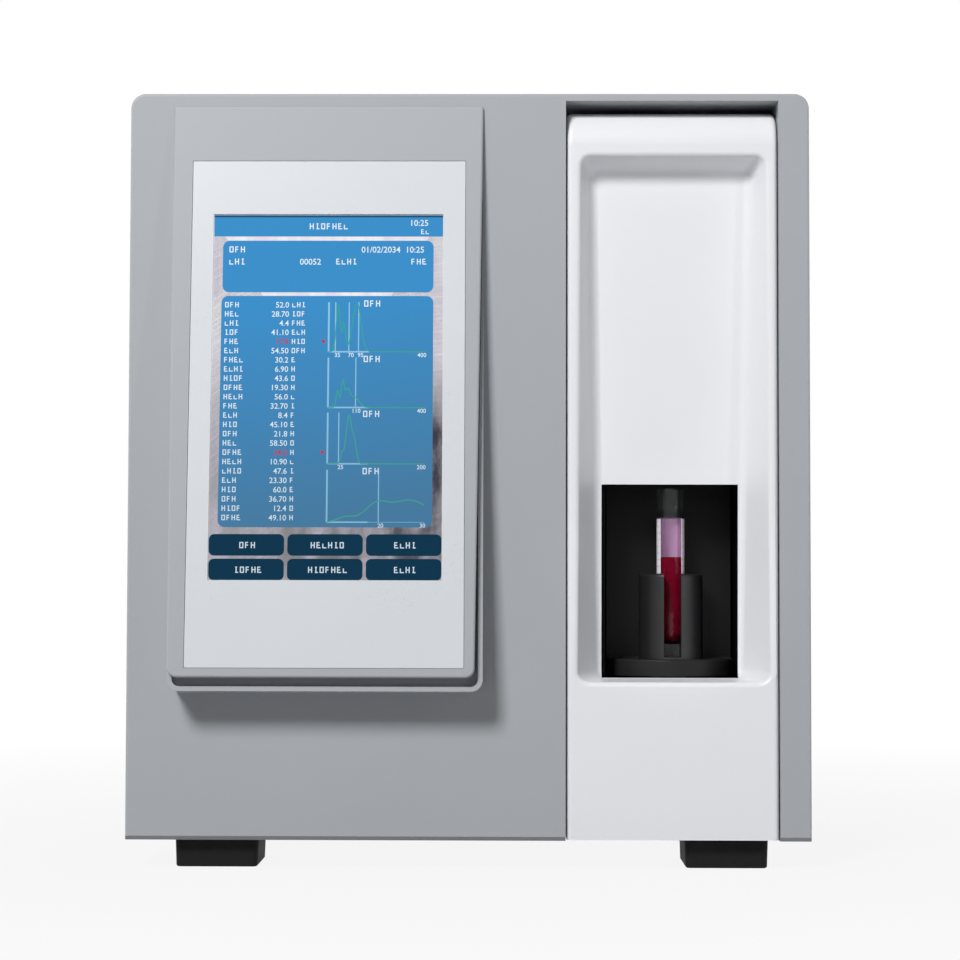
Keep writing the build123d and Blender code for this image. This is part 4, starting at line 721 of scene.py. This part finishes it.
class COUNTER_OT_make_picture(bpy.types.Operator):
    """Lays the lit picture under the cover glass: fields, rows, figures, graphs and keys"""

    bl_idname = "counter.make_picture"
    bl_label = "Make the picture"

    # Letters, as shares of their height, and the figures' weight
    letter_width, letter_pitch, stroke = 0.66, 0.92, 0.17
    cap_share = 0.72
    boldness = 0.025 * mm

    # Heights above the picture's face
    plate = 0.05 * mm
    word_lift = 2.2 * plate
    figure_lift = 2.8 * plate
    curve_lift = 3.4 * plate
    scale_lift = 4.6 * plate

    # Places on the picture, in millimetres from its top left corner
    header_height, header_edge = 10.2, 1.0
    fields = ((4.2, 12.2, 36.9), (3.9, 38.6, 147.4))
    field_margin, field_radius = 4.4, 3.2
    first_row = 42.8
    name_left, value_right, unit_left = 5.6, 35.6, 37.0
    flag = (51.0, 52.6, 0.7)
    flagged_rows = (4, 16)
    name_letters = (3,) * 6 + (4,) * 5 + (3,) * 5 + (4,) * 3 + (3,) * 3 + (4,) * 2
    long_units = 6
    key_tops = (150.6, 162.0)
    key_height, key_radius, key_gap = 10.0, 2.5, 1.5
    key_letters = ((3, 6, 4), (5, 7, 4))
    key_word_height = 2.9

    # Left end, middle, height, letters and variety of the words at the head
    head_words = (
        (44.7, 5.3, 2.9, 7, 0),
        (97.0, 7.9, 2.3, 2, 3),
        (7.2, 16.4, 2.9, 3, 0),
        (7.2, 22.2, 2.9, 3, 2),
        (57.3, 22.2, 2.8, 4, 0),
        (92.5, 22.2, 2.8, 3, 4),
    )
    head_figures = (
        ("10:25", 100.5, 3.6),
        ("01/02/2034  10:25", 98.6, 16.4),
        ("00052", 50.3, 22.2),
    )
    head_figure_height = 2.9

    # Name and screen values, at the top and at the foot, of the other lit colours
    lit_colours = (
        ("key_blue", (20, 66, 92), (14, 54, 78)),
        ("print_white", (236, 246, 252), (206, 224, 236)),
        ("axis_pale", (150, 206, 236), (132, 186, 214)),
        ("curve_green", (58, 168, 156), (70, 160, 140)),
        ("flag_red", (196, 52, 84), (206, 56, 84)),
        ("edge_dark", (36, 84, 118), (36, 84, 118)),
    )

    # Top and foot, peaks (middle, width and height), markers and scale figures of each graph
    graph_left, graph_right = 54.2, 99.2
    graph_spans = ((41.6, 65.1), (67.9, 91.4), (93.8, 117.8), (120.6, 145.0))
    graph_peaks = (
        ((0.1, 0.03, 0.95), (0.16, 0.02, 0.6), (0.29, 0.06, 1.0)),
        ((0.1, 0.02, 0.35), (0.15, 0.02, 0.5), (0.2, 0.04, 0.35), (0.28, 0.06, 0.2)),
        ((0.15, 0.02, 0.2), (0.22, 0.04, 0.95), (0.28, 0.03, 0.4)),
        ((0.2, 0.12, 0.1), (0.5, 0.16, 0.28), (0.85, 0.3, 0.42)),
    )
    graph_markers = ((0.07, 0.21, 0.31), (0.285,), (0.115,), (0.53,))
    graph_scales = (("35", "70", "95", "400"), ("110", "400"), ("25", "200"), ("20", "30"))
    axis_width, base_width, line_width, marker_width, curve_width = 0.8, 0.7, 0.22, 0.5, 0.5
    base_part, highest_rise, curve_steps = 0.42, 0.97, 90
    title_left, title_height = 70.6, 3.0
    scale_height, scale_end = 2.0, 0.96
    scale_shift = (2.4, 1.5)

    def word(self, left, middle, height, letters, variety=0):
        """Outlines of small plain marks that stand for a word."""
        marks = []
        top, bottom = middle - height / 2, middle + height / 2
        wide, bar = self.letter_width * height, self.stroke * height
        edge, soft = 0.06 * height, 0.05 * height
        for index in range(letters):
            x = left + index * self.letter_pitch * height
            kind = (index * 5 + letters + variety * 3) % 7
            cap = top if kind != 2 else top + 0.25 * height
            level, centre = (cap + bottom - bar) / 2, x + wide / 2
            strokes = (
                (kind != 5, x, cap, x + bar, bottom, edge, 2),
                (kind in (0, 3, 6), x + wide - bar, cap, x + wide, bottom, edge, 2),
                (kind in (1, 3, 4, 5), x + bar, cap, x + wide - bar, cap + bar, soft, 2),
                (kind in (0, 1, 4, 6), x + bar, level, x + wide - bar, level + bar, soft, 2),
                (kind in (2, 3, 4, 5), x + bar, bottom - bar, x + wide, bottom, soft, 2),
                (kind == 5, centre - bar / 2, cap + bar, centre + bar / 2, bottom - bar, 0.05, 1),
            )
            marks += [rounded(*stroke) for drawn, *stroke in strokes if drawn]
        return marks

    def figures(self, name, face, entries, height, lift, finish):
        """Plain figures on the picture, each entry a text with its right end and middle."""

        def build(form):
            for text, right, middle in entries:
                curve = bpy.data.curves.new("figure", "FONT")
                curve.body = text
                curve.size = height * mm / self.cap_share
                curve.align_x = "RIGHT"
                curve.extrude = self.plate / 2
                curve.resolution_u = 3
                curve.offset = self.boldness
                holder = bpy.data.objects.new("figure", curve)
                mesh = bpy.data.meshes.new_from_object(holder)
                origin = face.point(right * mm, (middle + height / 2) * mm, lift)
                turn = Matrix((face.right, face.up, face.out)).transposed().to_4x4()
                mesh.transform(Matrix.Translation(origin) @ turn)
                form.from_mesh(mesh)
                bpy.data.objects.remove(holder)
                bpy.data.curves.remove(curve)
                bpy.data.meshes.remove(mesh)

        new_piece(name, build, finish)

    def along(self, part):
        """How far across the picture a share of a graph's width is."""
        return self.graph_left + part * (self.graph_right - self.graph_left)

    def graph(self, top, bottom, peaks, markers):
        """Outlines of the axes and markers of one graph, and of its curve."""
        left, right, middle = (self.along(part) for part in (0, 1, self.base_part))
        axes = [
            ribbon([(left, top), (left, bottom)], self.axis_width),
            ribbon([(left, bottom), (middle, bottom)], self.base_width),
            ribbon([(left, bottom), (right, bottom)], self.line_width),
        ]
        for x in map(self.along, markers):
            axes.append(ribbon([(x, top), (x, bottom)], self.marker_width))
        points = []
        for step in range(self.curve_steps + 1):
            part = step / self.curve_steps
            rise = sum(high * math.exp(-(((part - mid) / wide) ** 2)) for mid, wide, high in peaks)
            height = min(rise, self.highest_rise) * (bottom - top)
            points.append((self.along(part), bottom - height))
        return axes, [ribbon(pair, self.curve_width) for pair in zip(points, points[1:])]

    def result_rows(self, settings):
        """Outlines of the rows' words and flags, and the plain and the flagged figures."""
        names, units, flags, plain, flagged = [], [], [], [], []
        size = settings.figure_height
        for row in range(settings.rows):
            middle = self.first_row + row * settings.row_pitch
            letters = self.name_letters[row % len(self.name_letters)]
            names += self.word(self.name_left, middle, 0.88 * size, letters, row)
            letters = 3 if row < self.long_units else 1
            units += self.word(self.unit_left, middle, 0.84 * size, letters, row + 2)
            number = f"{(row * 37 + 52) % 61 + (row * 7 % 10) / 10:.{1 + row % 2}f}"
            entry = (number, self.value_right, middle)
            if row in self.flagged_rows:
                flagged.append(entry)
                left, right, radius = self.flag
                flags.append(rounded(left, middle - radius, right, middle + radius, radius))
            else:
                plain.append(entry)
        return names + units, flags, plain, flagged

    def keys(self, width):
        """Outlines of the keys in two lines of three, and of the words on them."""
        keys, words = [], []
        key_width = (width - 2 * self.key_gap) / 3
        for line, top in enumerate(self.key_tops):
            for column, letters in enumerate(self.key_letters[line]):
                left = column * (key_width + self.key_gap)
                bottom = top + self.key_height
                keys.append(rounded(left, top, left + key_width, bottom, self.key_radius))
                start = left + key_width / 2 - letters * 1.1
                words += self.word(start, top + 5.1, self.key_word_height, letters)
        return keys, words

    def execute(self, context):
        settings = context.scene.counter_picture
        face = Face("lcd_module")
        glass = Face("touch_glass")
        face.corner += face.right * (face.width - glass.width) / 2
        face.corner += face.up * (face.height - glass.height) / 2
        face.width, face.height = glass.width, glass.height
        width = face.width / mm
        dress(picture_backdrop(face), "lcd_module")
        dress(cover_glass(), "touch_glass")
        blue = lit_field("field_blue", face, tuple(settings.blue), tuple(settings.deep_blue))
        key_blue, white, pale, green, red, dark = (
            lit_field(name, face, on_screen(*upper), on_screen(*lower))
            for name, upper, lower in self.lit_colours
        )

        words, flags, plain, flagged = self.result_rows(settings)
        for entry in self.head_words:
            words += self.word(*entry)
        axes, curves, scale = [], [], []
        across, down = self.scale_shift
        for (top, bottom), peaks, markers, texts in zip(
            self.graph_spans, self.graph_peaks, self.graph_markers, self.graph_scales
        ):
            lines, curve = self.graph(top, bottom, peaks, markers)
            axes += lines
            curves += curve
            words += self.word(self.title_left, top + 0.6, self.title_height, 3)
            for text, part in zip(texts, (*markers, self.scale_end)):
                scale.append((text, self.along(part) + across, bottom + down))

        header = rounded(0, 0, width, self.header_height, 0.1, 1)
        edge = rounded(0, 0, width, self.header_edge, 0.1, 1)
        fields = [
            rounded(left, top, width - self.field_margin, bottom, self.field_radius)
            for left, top, bottom in self.fields
        ]
        keys, key_words = self.keys(width)
        plate, above = self.plate, self.word_lift
        field_piece("picture_header", face, [header], plate, plate, blue)
        field_piece("picture_header_edge", face, [edge], above, plate, dark)
        field_piece("picture_fields", face, fields, plate, plate, blue)
        field_piece("picture_words", face, words, above, plate, white)
        field_piece("picture_axes", face, axes, above, plate, pale)
        field_piece("picture_curves", face, curves, self.curve_lift, plate, green)
        field_piece("picture_flags", face, flags, above, plate, red)
        size, lift = 0.92 * settings.figure_height, self.figure_lift
        self.figures("picture_figures", face, plain, size, lift, white)
        self.figures("picture_high_figures", face, flagged, size, lift, red)
        self.figures(
            "picture_scale_figures", face, scale, self.scale_height, self.scale_lift, white
        )
        size = self.head_figure_height
        self.figures("picture_head_figures", face, self.head_figures, size, lift, white)
        field_piece("picture_keys", face, keys, plate, plate, key_blue)
        field_piece("picture_key_words", face, key_words, above, plate, white)
        return {"FINISHED"}


class COUNTER_OT_make_tube(bpy.types.Operator):
    """Makes the sample tube with its rolled rim and the blood with its meniscus, and finishes the
    label
    """

    bl_idname = "counter.make_tube"
    bl_label = "Make the sample tube"

    see_through = 0.45
    label_gap = 0.02 * mm
    surface_rings = 6

    def execute(self, context):
        settings = context.scene.counter_tube
        low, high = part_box("sample_tube")
        centre = (low + high) / 2
        radius = (high.x - low.x) / 2
        blood_low, blood_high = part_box("blood_sample")
        blood_radius = (blood_high.x - blood_low.x) / 2
        wall = blood_low.z - low.z
        inside = radius - wall
        lip = wall / 2

        def glass(form):
            profile = [(0.0, low.z)]
            profile += arc(0.0, low.z + radius, radius, -85, 0, 12)
            profile += arc(radius - lip, high.z - lip, lip, 0, 180, 8)
            profile += arc(0.0, low.z + radius, inside, 0, -85, 12)
            profile.append((0.0, low.z + radius - inside))
            lathe(form, profile, centre, settings.turns)

        def blood(form):
            profile = [(0.0, blood_low.z)]
            profile += arc(0.0, blood_low.z + blood_radius, blood_radius, -85, 0, 10)
            profile.append((blood_radius, blood_high.z + settings.meniscus))
            for step in range(1, self.surface_rings + 1):
                part = 1 - step / self.surface_rings
                climb = settings.meniscus * part**4
                profile.append((blood_radius * part, blood_high.z + climb))
            lathe(form, profile, centre, settings.turns)

        tint = on_screen(246, 250, 250)
        clear = glassy(Finish("tube_glass"), tint, alpha=self.see_through)
        tube = new_piece("glass_tube", glass, clear, "turntable", True)
        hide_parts("sample_tube")
        liquid = new_piece("blood_column", blood, wet_blood(), "turntable", True)
        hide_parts("blood_sample")

        label_low, label_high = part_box("tube_label")
        outer = (label_high.x - label_low.x) / 2
        inner = radius + self.label_gap
        dress(label_paper(centre.x, centre.y, (outer + inner) / 2), "tube_label")
        return {"FINISHED"}


class COUNTER_OT_make_details(bpy.types.Operator):
    """Adds the rocker's marks and the screw heads with their cross recesses"""

    bl_idname = "counter.make_details"
    bl_label = "Make the small details"

    # Radii of the screws, their heads' height and edge, and the cross recess
    shank, head, head_height, head_edge = 1.5 * mm, 3.0 * mm, 1.5 * mm, 0.5 * mm
    slot_half, slot_reach, slot_depth, slot_taper = 0.3 * mm, 1.7 * mm, 0.9 * mm, 0.8

    # The rocker's marks, in millimetres
    bar_half, bar_reach = 0.35, 1.8
    ring_radius, ring_width = 1.6, 0.6
    mark_thickness = 0.12 * mm

    def screw(self, form, centre, low, high):
        """A pan head screw along Y, with a cross recess in its head."""
        begin = len(form.verts)
        neck, edge = high - self.head_height, self.head_edge
        profile = [(0.0, low), (self.shank, low), (self.shank, neck), (self.head, neck)]
        profile.append((self.head, high - 1.6 * edge))
        profile += arc(self.head - edge, high - edge, edge, 15, 75, 4)
        profile.append((self.head - 1.4 * edge, high))
        lathe(form, profile, Vector((0, 0, 0)), 32)
        rim = [link for link in form.edges if link.is_boundary]
        narrow, wide = self.slot_half, self.slot_reach
        cross = [(narrow, wide), (-narrow, wide), (-narrow, narrow)]
        while len(cross) < 12:
            cross += [(-y, x) for x, y in cross[-3:]]
        deep, taper = high - self.slot_depth, self.slot_taper
        upper = [form.verts.new((x, y, high)) for x, y in cross]
        lower = [form.verts.new((taper * x, taper * y, deep)) for x, y in cross]
        rim += [form.edges.new((upper[index - 1], upper[index])) for index in range(12)]
        bmesh.ops.triangle_fill(form, use_beauty=True, edges=rim)
        for index in range(12):
            form.faces.new((upper[index - 1], upper[index], lower[index], lower[index - 1]))
        form.faces.new(lower)
        form.verts.ensure_lookup_table()
        turned = Matrix(((-1, 0, 0), (0, 0, 1), (0, 1, 0)))
        for vert in form.verts[begin:]:
            vert.co = turned @ vert.co + centre

    def execute(self, context):
        low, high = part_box("case_screws")
        groups = {}
        for vert in nodes["case_screws"].data.vertices:
            key = (vert.co.x > 0, round(vert.co.z / (20 * mm)))
            groups.setdefault(key, []).append(vert.co)

        def screws(form):
            for found in groups.values():
                x, z = (
                    (max(point[axis] for point in found) + min(point[axis] for point in found)) / 2
                    for axis in (0, 2)
                )
                self.screw(form, Vector((x, 0, z)), low.y, high.y)
            bmesh.ops.recalc_face_normals(form, faces=form.faces)

        steel = brushed("screw_steel", on_screen(196, 198, 200), 0.3, "X", 0.003 * mm)
        heads = new_piece("pan_head_screws", screws, steel, smooth=True)
        heads.data.set_sharp_from_angle(angle=math.radians(35))
        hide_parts("case_screws")

        paint = moulded("mark_white", on_screen(226, 226, 224), 0.5)
        tall, half = self.bar_reach, self.bar_half
        circle = [
            on_circle(0, 0, self.ring_radius, math.radians(angle)) for angle in range(3, 359, 5)
        ]
        bar = [(-half, -tall), (half, -tall), (half, tall), (-half, tall)]
        flat = Face("switch_rocker", lambda normal: normal.y > 0.7 and abs(normal.z) < 0.1)
        tilted = Face("switch_rocker", lambda normal: normal.y > 0.7 and abs(normal.z) > 0.2)
        for name, face, outline in (
            ("rocker_bar", flat, bar),
            ("rocker_ring", tilted, ribbon(circle, self.ring_width)),
        ):
            across, down = face.width / mm / 2, face.height / mm / 2
            outline = [(across + x, down + y) for x, y in outline]
            field_piece(name, face, [outline], 0.0, self.mark_thickness, paint, "rocker")
        return {"FINISHED"}


class COUNTER_OT_set_stage(bpy.types.Operator):
    """Sets the floor, the soft lights, the white surroundings and the camera"""

    bl_idname = "counter.set_stage"
    bl_label = "Set the stage"

    floor_size = 6.0
    ambient_strength = 0.12
    front = (0.0, -0.1, 0.18)
    body = (0.0, 0.0, 0.2)

    # Name, place, aim, size and power setting of each lamp; the one without a size is a spot
    lamps = (
        ("key_light", (-0.78, -1.87, 1.6), front, (0.56, 0.56), "key_power"),
        ("left_fill", (-2.1, 0.4, 0.9), body, (1.0, 1.0), "fill_power"),
        ("right_fill", (2.1, 0.4, 0.9), body, (1.0, 1.0), "fill_power"),
        ("rear_fill", (0.5, 2.1, 0.9), body, (1.0, 1.0), "fill_power"),
        ("tube_spot", (0.0, -1.3, 0.36), (0.097, -0.075, 0.128), None, "spot_power"),
        ("strip_light", (0.75, -0.75, 0.3), (0.09, -0.1, 0.12), (0.06, 0.6), "strip_power"),
    )
    spot_angle = 3.6
    camera_place = (0.0178, -1.2218, 0.1319)
    camera_turn = (-0.64, 2.54, 0.12)

    def seen_white(self, finish, shader, share):
        """Mixes a shader with plain white for the camera, and for gloss and glass."""
        seen, *others = (
            finish.node("ShaderNodeLightPath", output=f"Is {ray} Ray")
            for ray in ("Camera", "Glossy", "Transmission")
        )
        for path in others:
            seen = finish.sum("MAXIMUM", seen, path)
        white = finish.node(
            "ShaderNodeEmission", None, {"Color": (1.0, 1.0, 1.0, 1.0), "Strength": 1.0}
        )
        return finish.node("ShaderNodeMixShader", None, {0: seen * share, 1: shader, 2: white})

    def lay_floor(self):
        """Lays the plain floor, whose white share grows with the distance from the machine."""

        def floor(form):
            half = self.floor_size / 2
            corners = [(-half, -half, 0), (half, -half, 0), (half, half, 0), (-half, half, 0)]
            form.faces.new([form.verts.new(corner) for corner in corners])

        finish = Finish("studio_floor")
        plain = finish.node("ShaderNodeBsdfDiffuse", None, {"Color": on_screen(160, 160, 161)})
        share = finish.ramp(finish.length(finish.place()), 0.2, 0.9, 0.89, 1.0)
        surface = self.seen_white(finish, plain, share)
        finish.node("ShaderNodeOutputMaterial", None, {"Surface": surface})
        ground = put("studio_floor", mesh_of("studio_floor", floor))
        ground.data.materials.append(finish.made)

    def fill_world(self):
        """Makes surroundings that are white to the camera and light the machine weakly."""
        world = Finish("studio_white", "worlds")
        seen = world.node("ShaderNodeLightPath", output="Is Camera Ray")
        ambient, white = (
            world.node("ShaderNodeBackground", None, {"Color": colour, "Strength": strength})
            for colour, strength in (
                ((0.94, 0.97, 1.0, 1.0), self.ambient_strength),
                ((1.0, 1.0, 1.0, 1.0), 1.0),
            )
        )
        blend = world.node("ShaderNodeMixShader", None, {0: seen, 1: ambient, 2: white})
        world.node("ShaderNodeOutputWorld", None, {"Surface": blend})
        bpy.context.scene.world = world.made

    def execute(self, context):
        settings = context.scene.counter_studio
        self.lay_floor()
        self.fill_world()
        for name, place, aim, size, power in self.lamps:
            lamp = bpy.data.lights.new(name, "AREA" if size else "SPOT")
            lamp.energy = getattr(settings, power)
            if size:
                lamp.shape = "RECTANGLE"
                lamp.size, lamp.size_y = size
            else:
                lamp.spot_size, lamp.spot_blend = math.radians(self.spot_angle), 0.5
                lamp.shadow_soft_size = 0.03
            turn = (Vector(aim) - Vector(place)).to_track_quat("-Z", "Y")
            put(name, lamp, place).rotation_euler = turn.to_euler()

        camera = bpy.data.cameras.new("camera")
        camera.lens = settings.lens
        camera.sensor_width = 36.0
        camera.clip_start = 0.05
        holder = put("camera", camera, self.camera_place)
        yaw, pitch, roll = (math.radians(angle) for angle in self.camera_turn)
        forward = Vector(
            (math.sin(yaw) * math.cos(pitch), math.cos(yaw) * math.cos(pitch), math.sin(pitch))
        )
        facing = forward.to_track_quat("-Z", "Y").to_matrix() @ Matrix.Rotation(roll, 3, "Z")
        holder.rotation_euler = facing.to_euler()
        context.scene.camera = holder
        context.scene.view_settings.view_transform = "Standard"
        return {"FINISHED"}


class COUNTER_PT_panel(bpy.types.Panel):
    """The counter's steps and settings, in the sidebar of the 3D view"""

    bl_idname = "COUNTER_PT_panel"
    bl_label = "Blood Cell Counter"
    bl_space_type = "VIEW_3D"
    bl_region_type = "UI"
    bl_category = "Counter"

    def draw(self, context):
        for name, group in groups.items():
            for setting in group.__annotations__:
                self.layout.prop(getattr(context.scene, name), setting)
        for step in steps:
            self.layout.operator(step.bl_idname)


steps = (
    COUNTER_OT_dress_case,
    COUNTER_OT_dress_chamber,
    COUNTER_OT_dress_works,
    COUNTER_OT_make_picture,
    COUNTER_OT_make_tube,
    COUNTER_OT_make_details,
    COUNTER_OT_set_stage,
)
groups = {
    "counter_case": CaseSettings,
    "counter_picture": PictureSettings,
    "counter_tube": TubeSettings,
    "counter_studio": StudioSettings,
}


def register():
    """Adds the settings, the operators and the panel to Blender."""
    for name, group in groups.items():
        bpy.utils.register_class(group)
        setattr(bpy.types.Scene, name, PointerProperty(type=group))
    for step in (*steps, COUNTER_PT_panel):
        bpy.utils.register_class(step)


def unregister():
    """Takes the settings, the operators and the panel out again."""
    for step in (COUNTER_PT_panel, *reversed(steps)):
        bpy.utils.unregister_class(step)
    for name, group in groups.items():
        delattr(bpy.types.Scene, name)
        bpy.utils.unregister_class(group)


def main():
    """Runs every step in turn."""
    register()
    bpy.ops.counter.dress_case()
    bpy.ops.counter.dress_chamber()
    bpy.ops.counter.dress_works()
    bpy.ops.counter.make_picture()
    bpy.ops.counter.make_tube()
    bpy.ops.counter.make_details()
    bpy.ops.counter.set_stage()


if __name__ == "__main__":
    main()
